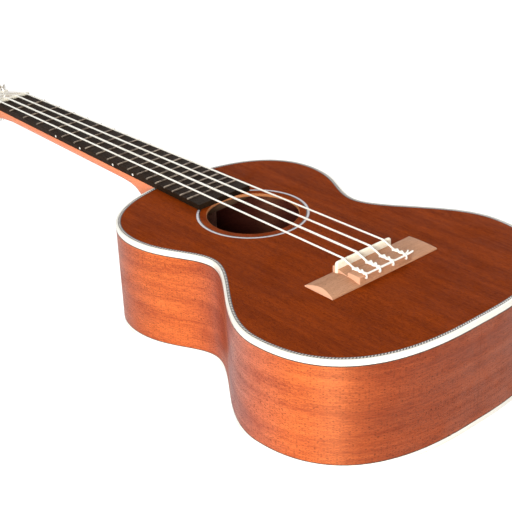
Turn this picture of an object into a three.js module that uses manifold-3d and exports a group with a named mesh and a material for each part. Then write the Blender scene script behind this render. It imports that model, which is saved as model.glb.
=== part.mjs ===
// Tenor ukulele, lying on its back, in millimetres.
// +Y points to the head, +X to the treble side and +Z out of the soundboard.
// The origin is the middle of the body, on the outside of the flat back.
import * as THREE from 'three';
import { mergeVertices } from 'three/addons/utils/BufferGeometryUtils.js';
import Module from 'manifold-3d';

const wasm = await Module();
wasm.setup();

// Driving dimensions of the instrument
const scaleLength = 430;
const fretCount = 18;
const bodyLength = 299.6;
const bodyDepth = 79;
const lowerBout = 230.4;
const upperBout = 176.4;
const waist = 138;
const neckJoint = 234.3;
const soundHoleRadius = 33.4;
const soundHoleFromNut = 323;
const nutStringSpacing = 8.97;
const saddleStringSpacing = 12.46;
const stringDiameter = 0.9;

// Clearances
const glueGap = 0.1;
const seatGap = 0.3;
const overrun = 2;

const nutY = neckJoint + bodyLength / 2;
const fromNut = (distance) => nutY - distance;
const fretPlace = (fret) => scaleLength * (1 - Math.pow(2, -fret / 12));
const sides = [['bass', -1], ['treble', 1]];
const mix = THREE.MathUtils.lerp;

// A closed geometry becomes a solid that can be joined and cut
function solidOf(geometry) {
  const bare = geometry.clone();
  bare.deleteAttribute('normal');
  bare.deleteAttribute('uv');
  const merged = mergeVertices(bare);
  return new wasm.Manifold(new wasm.Mesh({
    numProp: 3,
    vertProperties: new Float32Array(merged.attributes.position.array),
    triVerts: new Uint32Array(merged.index.array),
  }));
}

function geometryOf(solid) {
  const mesh = solid.getMesh();
  const geometry = new THREE.BufferGeometry();
  geometry.setAttribute('position', new THREE.BufferAttribute(new Float32Array(mesh.vertProperties), 3));
  geometry.setIndex(new THREE.BufferAttribute(new Uint32Array(mesh.triVerts), 1));
  return geometry;
}

const cut = (geometry, ...tools) =>
  geometryOf(tools.reduce((left, tool) => left.subtract(solidOf(tool)), solidOf(geometry)));
const join = (geometry, ...others) =>
  geometryOf(others.reduce((whole, other) => whole.add(solidOf(other)), solidOf(geometry)));
const common = (geometry, other) => geometryOf(solidOf(geometry).intersect(solidOf(other)));

// A box given by its low and high places along each axis
function block([x0, x1], [y0, y1], [z0, z1]) {
  const box = new THREE.BoxGeometry(x1 - x0, y1 - y0, z1 - z0);
  return box.translate((x0 + x1) / 2, (y0 + y1) / 2, (z0 + z1) / 2);
}

// A flat outline of [x, y] points, raised from one height to another
function plate(points, z0, z1) {
  const shape = new THREE.Shape(points.map(([x, y]) => new THREE.Vector2(x, y)));
  return new THREE.ExtrudeGeometry(shape, { depth: z1 - z0, bevelEnabled: false }).translate(0, 0, z0);
}

// A section of [y, z] points carried along X from one side to the other
function bar(section, x0, x1) {
  const shape = new THREE.Shape(section.map(([y, z]) => new THREE.Vector2(y, z)));
  const geometry = new THREE.ExtrudeGeometry(shape, { depth: x1 - x0, bevelEnabled: false });
  geometry.applyMatrix4(new THREE.Matrix4().set(0, 0, 1, x0, 1, 0, 0, 0, 0, 1, 0, 0, 0, 0, 0, 1));
  return geometry;
}

// A round pin standing on Z, and the same lying along X or Y
function pin(radius, z0, z1, steps = 24) {
  const cylinder = new THREE.CylinderGeometry(radius, radius, z1 - z0, steps);
  return cylinder.rotateX(Math.PI / 2).translate(0, 0, (z0 + z1) / 2);
}
const alongY = (geometry) => geometry.rotateX(-Math.PI / 2);
const alongX = (geometry) => geometry.rotateY(Math.PI / 2);

// A profile of [radius, height] points turned about Z
function turned(profile, steps = 32) {
  const points = profile.map(([radius, height]) => new THREE.Vector2(radius, height));
  return new THREE.LatheGeometry(points, steps).rotateX(Math.PI / 2);
}

// Rings of points with equal counts become one closed skin; open rings get flat ends
function skin(rings, closed = false) {
  const count = rings[0].length;
  const last = closed ? rings.length : rings.length - 1;
  const faces = [];
  for (let ring = 0; ring < last; ring += 1) {
    const next = (ring + 1) % rings.length;
    for (let side = 0; side < count; side += 1) {
      const turn = (side + 1) % count;
      faces.push(ring * count + side, next * count + side, next * count + turn);
      faces.push(ring * count + side, next * count + turn, ring * count + turn);
    }
  }
  const geometry = new THREE.BufferGeometry();
  geometry.setAttribute('position', new THREE.Float32BufferAttribute(rings.flat(2), 3));
  if (!closed) faces.push(...endFaces(rings[0], 0, true));
  if (!closed) faces.push(...endFaces(rings.at(-1), (rings.length - 1) * count, false));
  geometry.setIndex(faces);
  return outward(geometry);
}

// The flat face on an end ring, seen along the ring's own normal
function endFaces(ring, start, first) {
  const points = ring.map((point) => new THREE.Vector3(...point));
  const normal = new THREE.Vector3();
  points.forEach((point, index) => {
    const next = points[(index + 1) % points.length];
    normal.add(new THREE.Vector3().crossVectors(point, next));
  });
  normal.normalize();
  const across = points[1].clone().sub(points[0]).normalize();
  const up = new THREE.Vector3().crossVectors(normal, across);
  const flat = points.map((point) => new THREE.Vector2(point.dot(across), point.dot(up)));
  const triangles = THREE.ShapeUtils.triangulateShape(flat, []);
  return triangles.flatMap(([a, b, c]) => {
    const left = THREE.ShapeUtils.area([flat[a], flat[b], flat[c]]) > 0;
    return (left === first ? [a, b, c] : [a, c, b]).map((point) => start + point);
  });
}

// Turns the faces round if the skin holds a negative volume
function outward(geometry) {
  const place = geometry.attributes.position;
  const index = geometry.index.array;
  const corner = [new THREE.Vector3(), new THREE.Vector3(), new THREE.Vector3()];
  let volume = 0;
  for (let face = 0; face < index.length; face += 3) {
    corner.forEach((point, step) => point.fromBufferAttribute(place, index[face + step]));
    volume += corner[0].dot(corner[1].clone().cross(corner[2]));
  }
  if (volume < 0) geometry.setIndex(Array.from(index).reverse());
  return geometry;
}

// A round tube along a list of points, with flat ends
function tube(points, radius, steps = 6) {
  const along = points.map((point, index) => {
    const before = points[Math.max(index - 1, 0)];
    const after = points[Math.min(index + 1, points.length - 1)];
    return after.clone().sub(before).normalize();
  });
  let across = new THREE.Vector3(1, 0, 0);
  if (Math.abs(along[0].x) > Math.SQRT1_2) across = new THREE.Vector3(0, 0, 1);
  const rings = points.map((point, index) => {
    across = across.clone().addScaledVector(along[index], -across.dot(along[index])).normalize();
    const up = new THREE.Vector3().crossVectors(along[index], across);
    return Array.from({ length: steps }, (_, step) => {
      const angle = (2 * Math.PI * step) / steps;
      const place = point.clone().addScaledVector(across, radius * Math.cos(angle));
      return place.addScaledVector(up, radius * Math.sin(angle)).toArray();
    });
  });
  return skin(rings);
}

// Body outline, one half from the neck end to the tail, seen from the front.
// Each curve gives its end and handles as shares of the half bouts and the body length.
const upperShare = 0.201;
const waistShare = 0.412;
const lowerShare = 0.731;
const shoulderHandleShare = 0.217;
const upperHandleShares = [0.103, 0.101];
const waistHandleShares = [0.061, 0.082];
const lowerHandleShares = [0.128, 0.28];
const tailHandleShare = 0.095;
const outlineSteps = [7, 6, 7, 10];

function outlineCurves() {
  const along = (share) => -share * bodyLength;
  const point = (x, share) => new THREE.Vector2(x, bodyLength / 2 + along(share));
  const curve = (...points) => new THREE.CubicBezierCurve(...points);
  const upper = upperBout / 2;
  const middle = waist / 2;
  const lower = lowerBout / 2;
  const lowerFlat = lowerShare + lowerHandleShares[1];
  return [
    curve(point(0, 0), point(shoulderHandleShare * bodyLength, 0),
      point(upper, upperShare - upperHandleShares[0]), point(upper, upperShare)),
    curve(point(upper, upperShare), point(upper, upperShare + upperHandleShares[1]),
      point(middle, waistShare - waistHandleShares[0]), point(middle, waistShare)),
    curve(point(middle, waistShare), point(middle, waistShare + waistHandleShares[1]),
      point(lower, lowerShare - lowerHandleShares[0]), point(lower, lowerShare)),
    curve(point(lower, lowerShare), point(lower, lowerFlat),
      point(tailHandleShare * bodyLength, 1), point(0, 1)),
  ];
}

// Places on the half outline with the way into the body at each
const halfOutline = outlineCurves().flatMap((curve, number, curves) => {
  const steps = outlineSteps[number];
  const last = number === curves.length - 1 ? steps + 1 : steps;
  return Array.from({ length: last }, (_, step) => {
    const place = curve.getPoint(step / steps);
    const along = curve.getTangent(step / steps);
    return { x: place.x, y: place.y, inX: along.y, inY: -along.x };
  });
});

// The half outline moved inward; the ends stay on the centre line
function halfInset(inset) {
  return halfOutline.map(({ x, y, inX, inY }, index) => {
    const end = index === 0 || index === halfOutline.length - 1;
    return [end ? 0 : x + inX * inset, y + inY * inset];
  });
}

function fullInset(inset) {
  const half = halfInset(inset);
  const mirrored = half.slice(1, -1).reverse().map(([x, y]) => [-x, y]);
  return [...half, ...mirrored];
}

// A section of [inset, height] points carried round the whole outline
function hoop(section) {
  const loops = section.map(([inset, height]) => fullInset(inset).map(([x, y]) => [x, y, height]));
  return skin(loops[0].map((_, place) => loops.map((loop) => loop[place])), true);
}

// The same along one side, from startX beside the centre line to endX at the tail
function halfHoop(section, hand, startX, endX) {
  const loops = section.map(([inset, height]) => halfInset(inset).map(([x, y]) => [x, y, height]));
  const end = halfOutline.length - 1;
  const rings = halfOutline.map((_, place) => loops.map((loop) => {
    const [x, y, z] = loop[place];
    const [nearX, nearY] = loop[place === 0 ? 1 : end - 1];
    if (place > 0 && place < end) return [hand * x, y, z];
    const share = (place === 0 ? startX : endX) / nearX;
    return [hand * nearX * share, mix(y, nearY, share), z];
  }));
  return skin(rings);
}

// Plates, ribs and edge strips of the body
const topThickness = 2.4;
const backThickness = 2.4;
const sideThickness = 2.2;
const bindingWidth = 1.6;
const topBindingHeight = 3.9;
const backBindingHeight = 4.2;
const purflingWidth = 2;
const purflingDepth = 1.2;
const liningWidth = 5;
const liningHeight = 12;
const liningFlatShare = 0.4;
const topUnder = bodyDepth - topThickness;
const plateInset = bindingWidth + glueGap;
const purflingEnd = plateInset + purflingWidth;
const liningInset = sideThickness + liningWidth;
const soundHoleY = fromNut(soundHoleFromNut);

// Rosette ring let into the top round the sound hole
const rosetteRadius = 39.9;
const rosetteWidth = 2;
const rosetteDepth = 1;

function ringAt(inner, outer, z0, z1, steps = 40) {
  return turned([[inner, z0], [outer, z0], [outer, z1], [inner, z1], [inner, z0]], steps);
}

// Braces are rounded bars glued across the inside of a plate
const braceWidth = 7;
const braceHeight = 13;
const braceRoundShare = 0.55;
const strutWidth = 5;
const strutHeight = 6;
const strutSpread = 34;
const barFromHole = 13.8;
const strutFromTail = 22;
const backBarShares = [0.19, 0.46, 0.76];
const centreStripWidth = 14;
const centreStripHeight = 2.5;

const upperBarY = soundHoleY + soundHoleRadius + barFromHole;
const lowerBarY = soundHoleY - soundHoleRadius - barFromHole;

// A brace section hangs from height z; a negative height stands it up
function braceSection(y, z, width, height) {
  const half = width / 2;
  return [[y - half, z], [y - half, z - height * braceRoundShare], [y - half / 2, z - height],
    [y + half / 2, z - height], [y + half, z - height * braceRoundShare], [y + half, z]];
}

const innerSpace = () => plate(fullInset(liningInset + seatGap), 0, bodyDepth);

function crossBrace(y, z, height) {
  const section = braceSection(y, z, braceWidth, height);
  return common(bar(section, -lowerBout / 2, lowerBout / 2), innerSpace());
}

// Blocks at the two ends of the body, and the patch under the bridge
const blockWidth = 62;
const neckBlockDepth = 25;
const tailBlockDepth = 14;
const blockFoot = backThickness + glueGap;
const blockHead = topUnder - glueGap;
const patchLength = 34;
const patchWidth = 104;
const patchThickness = 2.4;
const bridgeFromNut = 428.8;
const bridgeLength = 25.7;
const bridgeY = fromNut(bridgeFromNut + bridgeLength / 2);

// Dovetail of the neck, held in the neck block
const dovetailWidth = 17;
const dovetailFlare = 2;
const dovetailDepth = 14;
const dovetailFoot = 12;
const dovetailHead = bodyDepth - topBindingHeight - seatGap;

function dovetail(growth) {
  const half = dovetailWidth / 2 + growth;
  const front = bodyLength / 2 + overrun;
  const back = bodyLength / 2 - sideThickness - dovetailDepth - growth;
  const root = half + dovetailFlare;
  const outline = [[-half, front], [-root, back], [root, back], [half, front]];
  return plate(outline, dovetailFoot - growth, dovetailHead + growth);
}

function soundboard() {
  const ledge = plate(fullInset(plateInset), topUnder, bodyDepth - purflingDepth - glueGap);
  const middle = plate(fullInset(purflingEnd + glueGap), topUnder, bodyDepth);
  const hole = pin(soundHoleRadius, topUnder - overrun, bodyDepth + overrun, 40);
  const halfRing = rosetteWidth / 2 + glueGap;
  const groove = ringAt(rosetteRadius - halfRing, rosetteRadius + halfRing,
    bodyDepth - rosetteDepth - glueGap, bodyDepth + overrun);
  const bars = [upperBarY, lowerBarY].map((y) => crossBrace(y, topUnder + glueGap, braceHeight));
  const board = cut(join(ledge, middle), hole.translate(0, soundHoleY, 0),
    groove.translate(0, soundHoleY, 0));
  return join(board, ...bars, ...fanStruts());
}

// Struts run back from the lower bar and stop at the bridge patch
function fanStruts() {
  const end = strutFromTail - bodyLength / 2;
  const patch = block([-patchWidth, patchWidth], patchRange(seatGap), [0, bodyDepth]);
  return [-1, 0, 1].map((place) => {
    const section = braceSection(0, topUnder + glueGap, strutWidth, strutHeight);
    const ringHere = (y) => section.map(([x, z]) => [x + place * strutSpread, y, z]);
    return cut(skin([ringHere(end), ringHere(lowerBarY)]), patch);
  });
}

const patchRange = (growth) => [bridgeY - patchLength / 2 - growth, bridgeY + patchLength / 2 + growth];

function backPlate() {
  const sheet = plate(fullInset(plateInset), 0, backThickness);
  const bars = backBarShares.map((share) =>
    crossBrace(bodyLength * (1 / 2 - share), backThickness - glueGap, -braceHeight));
  const ends = [tailBlockDepth - bodyLength / 2 + liningWidth, bodyLength / 2 - neckBlockDepth - liningWidth];
  const half = centreStripWidth / 2;
  const strip = block([-half, half], ends, [backThickness - glueGap, backThickness + centreStripHeight]);
  return join(sheet, ...bars, strip);
}

function side(hand) {
  const foot = backBindingHeight + glueGap;
  const head = bodyDepth - topBindingHeight - glueGap;
  const wall = [[0, foot], [0, head], [plateInset, head], [plateInset, blockHead],
    [sideThickness, blockHead], [sideThickness, blockFoot], [plateInset, blockFoot], [plateInset, foot]];
  const rib = halfHoop(wall, hand, dovetailWidth / 2 + dovetailFlare + seatGap, glueGap / 2);
  const spaces = blockSpaces();
  const linings = [[blockHead, -1], [blockFoot, 1]].map(([z, way]) => {
    const face = sideThickness - glueGap;
    const slope = z + way * liningHeight * liningFlatShare;
    const section = [[face, z], [liningInset, z], [liningInset, slope], [face, z + way * liningHeight]];
    return cut(halfHoop(section, hand, glueGap, glueGap), ...spaces);
  });
  return join(rib, ...linings);
}

// The space round each end block that the linings leave free
function blockSpaces() {
  const half = blockWidth / 2 + seatGap;
  const across = [-half, half];
  const up = [0, bodyDepth];
  const end = bodyLength / 2;
  return [
    block(across, [end - neckBlockDepth - liningWidth, end], up),
    block(across, [-end, tailBlockDepth + liningWidth - end], up),
  ];
}

function endBlock(y0, y1) {
  const half = blockWidth / 2;
  const inside = plate(fullInset(sideThickness + glueGap), blockFoot, blockHead);
  return common(block([-half, half], [y0, y1], [0, bodyDepth]), inside);
}

const neckBlock = () => cut(
  endBlock(bodyLength / 2 - neckBlockDepth, bodyLength / 2), dovetail(seatGap));
const tailBlock = () => endBlock(-bodyLength / 2, tailBlockDepth - bodyLength / 2);

function bridgePatch() {
  const half = patchWidth / 2;
  const head = topUnder - glueGap;
  return block([-half, half], patchRange(0), [head - patchThickness, head]);
}

const squareHoop = (inset, width, z0, z1) =>
  hoop([[inset, z0], [inset + width, z0], [inset + width, z1], [inset, z1]]);
const topBinding = () => squareHoop(0, bindingWidth, bodyDepth - topBindingHeight, bodyDepth);
const backBinding = () => squareHoop(0, bindingWidth, 0, backBindingHeight);
const topPurfling = () => squareHoop(plateInset, purflingWidth, bodyDepth - purflingDepth, bodyDepth);
const rosette = () => ringAt(rosetteRadius - rosetteWidth / 2, rosetteRadius + rosetteWidth / 2,
  bodyDepth - rosetteDepth, bodyDepth).translate(0, soundHoleY, 0);

// Neck with its heel, carved in one with the head
const nutWidth = 35.2;
const boardEndWidth = 49;
const boardTail = 12;
const boardLength = fretPlace(fretCount) + boardTail;
const boardThickness = 4.2;
const nutLength = 5.2;
const neckDepth = 11.8;
const neckDepthAtHeel = 13;
const heelLength = 44;
const heelFootWidth = 21;
const heelCapThickness = 2;
const heelBlendDepth = 42;
const heelPlaceShares = [0, 0.24, 0.42, 0.55, 0.66, 0.73, 0.79, 1.12];
const heelDepthShares = [0, 0.02, 0.08, 0.2, 0.42, 0.72, 1, 1];
const shaftPlaceShares = [0.03, 0.1, 0.3, 0.6, 0.85];
const neckRoundShare = 0.8;
const squareShare = 0.3;
const ringSteps = 14;

// Head, tilted back behind the nut
const headTilt = THREE.MathUtils.degToRad(14);
const headLength = 122;
const headWidth = 66;
const headThickness = 12;
const veneerThickness = 1.8;
const headSideShares = [[0, 0.54], [0.1, 0.6], [0.21, 0.82], [0.33, 0.93], [0.5, 0.95], [0.7, 0.98],
  [0.87, 1.03], [0.94, 1]];
const headCrownShares = [[0.975, 0.86], [0.985, 0.62], [0.972, 0.42], [0.985, 0.2], [1, 0]];
const headStart = new THREE.Vector3(0, nutY + nutLength, bodyDepth);

const widthAt = (distance) => nutWidth + ((boardEndWidth - nutWidth) * distance) / boardLength;

// Turns a shape from the head's own axes, Y away from the nut and Z out of its face
function onHead(geometry) {
  return geometry.rotateX(-headTilt).translate(headStart.x, headStart.y, headStart.z);
}

// One cross-section of the neck: flat on top, round below, squarer as square grows
function neckRing(width, depth, heel, square) {
  return Array.from({ length: ringSteps + 1 }, (_, step) => {
    const angle = (Math.PI * step) / ringSteps;
    const cosine = Math.cos(angle);
    const down = depth * Math.pow(Math.sin(angle), mix(neckRoundShare, squareShare, square));
    const waistIn = THREE.MathUtils.smoothstep(down, 0, heelBlendDepth) * heel;
    const half = mix(width, heelFootWidth, waistIn) / 2;
    const power = mix(1, squareShare, Math.max(heel, square));
    return [Math.sign(cosine) * half * Math.pow(Math.abs(cosine), power), 0, -down];
  });
}

function placeRing(ring, y, z) {
  return ring.map(([x, alongRing, up]) => [x, y + alongRing, z + up]);
}

function neckLoft() {
  const heelStart = neckJoint - heelLength;
  const heelDepth = bodyDepth - heelCapThickness - glueGap;
  const heel = heelPlaceShares.map((place, step) => {
    const from = heelStart + heelLength * place;
    const depth = mix(neckDepthAtHeel, heelDepth, heelDepthShares[step]);
    return placeRing(neckRing(widthAt(from), depth, heelDepthShares[step], 0), fromNut(from), bodyDepth);
  });
  const shaft = shaftPlaceShares.map((share) => {
    const from = heelStart * share;
    const depth = mix(neckDepth, neckDepthAtHeel, share);
    const square = THREE.MathUtils.clamp(1 / 2 - share / shaftPlaceShares[1] / 2, 0, 1);
    return placeRing(neckRing(widthAt(from), depth, 0, square), fromNut(from), bodyDepth);
  });
  return skin([...volute(), ...shaft, ...heel]);
}

// The head end of the loft, squaring off into the back of the head
function volute() {
  return [[0.12, 1], [0.03, 0.8]].map(([share, square]) => {
    const ring = neckRing(2 * headHalfWidth(share) - glueGap, headThickness - glueGap, 0, square);
    const turn = new THREE.Vector3();
    return ring.map(([x, y, z]) => {
      turn.set(x, y + share * headLength, z - glueGap).applyAxisAngle(new THREE.Vector3(1, 0, 0), -headTilt);
      return turn.add(headStart).toArray();
    });
  });
}

function headHalfWidth(share) {
  const next = headSideShares.findIndex(([place]) => place > share);
  const [p0, w0] = headSideShares[next - 1];
  const [p1, w1] = headSideShares[next];
  return (headWidth / 2) * mix(w0, w1, (share - p0) / (p1 - p0));
}

function headOutline(inset = 0) {
  const size = ([along, across]) => new THREE.Vector2((across * headWidth) / 2, along * headLength);
  const edge = new THREE.SplineCurve(headSideShares.map(size)).getPoints(headSideShares.length + 2);
  const crown = new THREE.SplineCurve([headSideShares.at(-1), ...headCrownShares].map(size))
    .getPoints(headCrownShares.length + 2);
  const right = [...edge, ...crown.slice(1)].map(({ x, y }) => [Math.max(x - inset, 0), y]);
  return [...right, ...right.slice(0, -1).reverse().map(([x, y]) => [-x, y])];
}

function neck() {
  const slab = plate(headOutline(), -headThickness, 0);
  const body = plate(fullInset(-seatGap), -overrun, bodyDepth + overrun);
  const carved = join(neckLoft(), onHead(slab));
  return cut(join(cut(carved, body), dovetail(0)), ...headHoles());
}

function heelCap() {
  const start = fromNut(neckJoint - heelLength * (1 - heelPlaceShares.at(-2)));
  const half = heelFootWidth / 2;
  const corner = half / 2;
  const outline = [[-half, -bodyLength], [half, -bodyLength], [half, start - corner], [corner, start],
    [-corner, start], [-half, start - corner]];
  const body = plate(fullInset(-glueGap), -overrun, bodyDepth);
  const shape = outline.map(([x, y]) => [x, Math.max(y, 0)]);
  return cut(plate(shape, 0, heelCapThickness), body);
}

// Fretboard with its slots, and the frets in them
const fretCrownWidth = 2;
const fretCrownHeight = 0.9;
const tangWidth = 0.5;
const tangDepth = 1.5;
const slotWidth = 0.6;
const slotDepth = 1.7;
const boardFoot = bodyDepth + glueGap;
const boardTop = boardFoot + boardThickness;

function fretboard() {
  const end = boardEndWidth / 2;
  const start = nutWidth / 2;
  const outline = [[-end, fromNut(boardLength)], [end, fromNut(boardLength)],
    [start, nutY - glueGap], [-start, nutY - glueGap]];
  const half = slotWidth / 2;
  const slot = block([-end, end], [-half, half], [boardTop - slotDepth, boardTop + overrun]);
  const slots = fretPlaces().map((place) => slot.clone().translate(0, fromNut(place), 0));
  return cut(plate(outline, boardFoot, boardTop), ...slots);
}

const fretPlaces = () => Array.from({ length: fretCount }, (_, fret) => fretPlace(fret + 1));

function fretWire(place) {
  const y = fromNut(place);
  const foot = boardTop + glueGap / 2;
  const half = fretCrownWidth / 2;
  const crown = Array.from({ length: 6 }, (_, step) => {
    const angle = (Math.PI * step) / 5;
    return [y + half * Math.cos(angle), foot + fretCrownHeight * Math.sin(angle)];
  });
  const tang = tangWidth / 2;
  const section = [...crown, [y - tang, foot], [y - tang, boardTop - tangDepth],
    [y + tang, boardTop - tangDepth], [y + tang, foot]];
  const reach = widthAt(place) / 2 - glueGap;
  return bar(section, -reach, reach);
}

// Bridge, saddle and nut. Bridge places are counted back from its front edge.
const bridgeWidth = 98;
const bridgeEdgeHeight = 0.7;
const bridgeCrownHeight = 3.2;
const bridgeBlockWidth = 49;
const bridgeWallHeight = 6.2;
const bridgeWallStart = 0.6;
const channelHeight = 3.2;
const tieBlockStart = 14.7;
const tieBlockEnd = 25.1;
const tieBlockHeight = 6.3;
const tieBlockChamfer = 0.6;
const rampHeight = 5.1;
const rampStart = 6.2;
const wingBevel = 3;
const tieHoleHeight = 4.4;
const tieHoleRadius = 0.85;
const saddleFromNut = 433.1;
const saddleLength = 50;
const saddleThickness = 2.6;
const saddleFootHeight = 1.5;
const saddleStringHeight = 10.9;
const nutRise = 1.8;
const nutBackDrop = 1.1;
const stringClearance = 0.1;
const stringRadius = stringDiameter / 2;
const bridgeFoot = bodyDepth + glueGap;
const fromBridge = (distance) => fromNut(bridgeFromNut + distance);
const saddleTop = bodyDepth + saddleStringHeight - stringRadius - stringClearance;
const stringXs = (spacing) => [-1.5, -0.5, 0.5, 1.5].map((place) => place * spacing);

function bridge() {
  const arch = Array.from({ length: 11 }, (_, step) => {
    const share = step / 10;
    const rise = (bridgeCrownHeight - bridgeEdgeHeight) * Math.sin(Math.PI * share);
    return [fromBridge(bridgeLength * share), bridgeFoot + bridgeEdgeHeight + rise];
  });
  const wings = [[fromBridge(bridgeLength), bridgeFoot], [fromBridge(0), bridgeFoot], ...arch];
  const saddleAt = saddleFromNut - bridgeFromNut;
  const raised = [[bridgeWallStart, 0], [bridgeWallStart, bridgeWallHeight - tieBlockChamfer],
    [bridgeWallStart + tieBlockChamfer, bridgeWallHeight], [saddleAt, bridgeWallHeight],
    [saddleAt, rampHeight], [rampStart, rampHeight], [tieBlockStart, channelHeight],
    [tieBlockStart, tieBlockHeight - tieBlockChamfer],
    [tieBlockStart + tieBlockChamfer, tieBlockHeight], [tieBlockEnd - tieBlockChamfer, tieBlockHeight],
    [tieBlockEnd, tieBlockHeight - tieBlockChamfer], [tieBlockEnd, 0]];
  const centre = raised.map(([back, up]) => [fromBridge(back), bridgeFoot + up]);
  const half = bridgeBlockWidth / 2;
  const reach = bridgeWidth / 2;
  const edge = bridgeFoot + bridgeEdgeHeight;
  const crown = bridgeFoot + bridgeCrownHeight;
  const front = [[-reach, bridgeFoot], [reach, bridgeFoot], [reach, edge], [reach - wingBevel, crown],
    [wingBevel - reach, crown], [-reach, edge]];
  const bevels = frontPlate(front, fromBridge(bridgeLength), fromBridge(0));
  const bevelled = common(bar(wings, -reach, reach), bevels);
  const whole = join(bevelled, bar(centre, -half, half));
  return cut(whole, saddleSlot(), ...tieHoles());
}

// A face drawn across the body, [x, z], carried along it
function frontPlate(face, y0, y1) {
  const shape = new THREE.Shape(face.map(([x, z]) => new THREE.Vector2(x, z)));
  const made = new THREE.ExtrudeGeometry(shape, { depth: y1 - y0, bevelEnabled: false });
  return made.rotateX(Math.PI / 2).translate(0, y1, 0);
}

function saddleSlot() {
  const reach = saddleLength / 2 + glueGap;
  const half = saddleThickness / 2 + glueGap;
  const y = fromNut(saddleFromNut);
  return block([-reach, reach], [y - half, y + half], [bodyDepth + saddleFootHeight - glueGap, saddleTop]);
}

function tieHoles() {
  const ends = [tieBlockEnd + overrun, tieBlockStart - overrun].map(fromBridge);
  return stringXs(saddleStringSpacing).map((x) =>
    alongY(pin(tieHoleRadius, ...ends, 10)).translate(x, 0, bodyDepth + tieHoleHeight));
}

function saddle() {
  const radius = saddleThickness / 2;
  const y = fromNut(saddleFromNut);
  const crown = Array.from({ length: 9 }, (_, step) => {
    const angle = (Math.PI * step) / 8;
    return [y + radius * Math.cos(angle), saddleTop - radius + radius * Math.sin(angle)];
  });
  const foot = bodyDepth + saddleFootHeight;
  const section = [...crown, [y - radius, foot], [y + radius, foot]];
  const half = saddleLength / 2;
  const corner = saddleThickness;
  const front = [[-half, foot], [half, foot], [half, saddleTop - corner], [half - corner, saddleTop],
    [corner - half, saddleTop], [-half, saddleTop - corner]];
  return common(bar(section, -half, half), frontPlate(front, y - saddleThickness, y + saddleThickness));
}

// Tuning machines: places are counted along the head from the nut
const postPlaces = [37, 79];
const postOffset = 15.5;
const postRadius = 3;
const postNeckRadius = 2.8;
const postCapRadius = 3.3;
const postRise = 10.8;
const postHoleRadius = 0.75;
const postClearance = 0.15;
const bushingRadius = 4.2;
const bushingFlangeRadius = 5.4;
const bushingFlange = 1.2;
const bushingDepth = 7;
const gearTeeth = 14;
const gearModule = 0.8;
const gearThickness = 4;
const wormRadius = 3;
const wormLength = 8.6;
const wormShaftRadius = 1.6;
const toothAddendumShare = 0.85;
const toothDedendumShare = 1.15;
const toothPlay = 0.12;
const pressureAngle = THREE.MathUtils.degToRad(20);
const tunerPlateThickness = 1;
const tunerPlateHalfWidth = 7.4;
const tunerPlateEnds = [-12, 19];
const tunerScrewPlaces = [-9, 16];
const screwHoleRadius = 1.1;
const earThickness = 1.1;
const earHalfLength = 3.6;
const gearDrop = 2.1;
const buttonStart = 19;
const buttonLength = 15;
const buttonHalfWidth = 8;
const buttonHalfThickness = 3.6;
const buttonBoreDepth = 9;

const veneerTop = glueGap + veneerThickness;
const headBack = -headThickness;
const plateFace = headBack - glueGap - tunerPlateThickness;
const gearTop = plateFace - gearDrop;
const gearMiddle = gearTop - gearThickness / 2;
const gearRadius = (gearModule * gearTeeth) / 2;
const wormPlace = gearRadius + wormRadius;
const wormPitch = Math.PI * gearModule;
const flankRun = Math.tan(pressureAngle);
const toothHalf = wormPitch / 4 - toothPlay;

const headHoles = () => sides.flatMap(([, hand]) => postPlaces.map((place) =>
  onHead(pin(bushingRadius + postClearance, 2 * plateFace, veneerTop + overrun, 12)
    .translate(hand * postOffset, place, 0))));

function veneer() {
  const sheet = plate(headOutline(), glueGap, veneerTop);
  const relief = block([-headWidth, headWidth], [-headLength, veneerThickness], [0, veneerTop + overrun]);
  return cut(onHead(cut(sheet, relief)), ...headHoles());
}

function bushing() {
  const bore = postRadius + postClearance;
  const under = veneerTop + glueGap;
  const top = under + bushingFlange;
  const edge = bushingFlange / 3;
  return turned([[bore, under - bushingDepth], [bushingRadius, under - bushingDepth], [bushingRadius, under],
    [bushingFlangeRadius, under], [bushingFlangeRadius, top - edge], [bushingFlangeRadius - edge, top],
    [bore, top], [bore, under - bushingDepth]], 12);
}

// Gear teeth lean like the worm's thread, so the two stay in mesh
function gear() {
  const tip = gearRadius + gearModule * toothAddendumShare;
  const root = gearRadius - gearModule * toothDedendumShare;
  const tipHalf = toothHalf - (tip - gearRadius) * flankRun;
  const rootHalf = toothHalf + (gearRadius - root) * flankRun;
  const tooth = [[root, -rootHalf], [tip, -tipHalf], [tip, tipHalf], [root, rootHalf]];
  const lean = wormPitch / (2 * Math.PI * wormRadius) / gearRadius;
  const ring = (z) => Array.from({ length: gearTeeth }, (_, number) => tooth.map(([radius, offset]) => {
    const angle = (2 * Math.PI * number) / gearTeeth + offset / radius - lean * (z - gearMiddle);
    return [radius * Math.sin(angle), radius * Math.cos(angle), z];
  })).flat();
  return skin([ring(gearTop - gearThickness), ring(gearTop)]);
}

function post() {
  const neckFoot = veneerTop + 2 * glueGap + bushingFlange;
  const top = veneerTop + postRise;
  const edge = postCapRadius - postNeckRadius;
  const foot = gearTop - gearThickness - tunerPlateThickness / 2;
  const shaft = turned([[0, foot], [postRadius, foot], [postRadius, neckFoot],
    [postNeckRadius, neckFoot + edge], [postNeckRadius, top - 3 * edge],
    [postCapRadius, top - 2 * edge], [postCapRadius, top - edge], [postNeckRadius, top], [0, top]], 14);
  const hole = alongX(pin(postHoleRadius, -bushingRadius, bushingRadius, 8));
  return cut(join(shaft, gear()), hole.translate(0, 0, top - 5 * edge));
}

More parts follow.
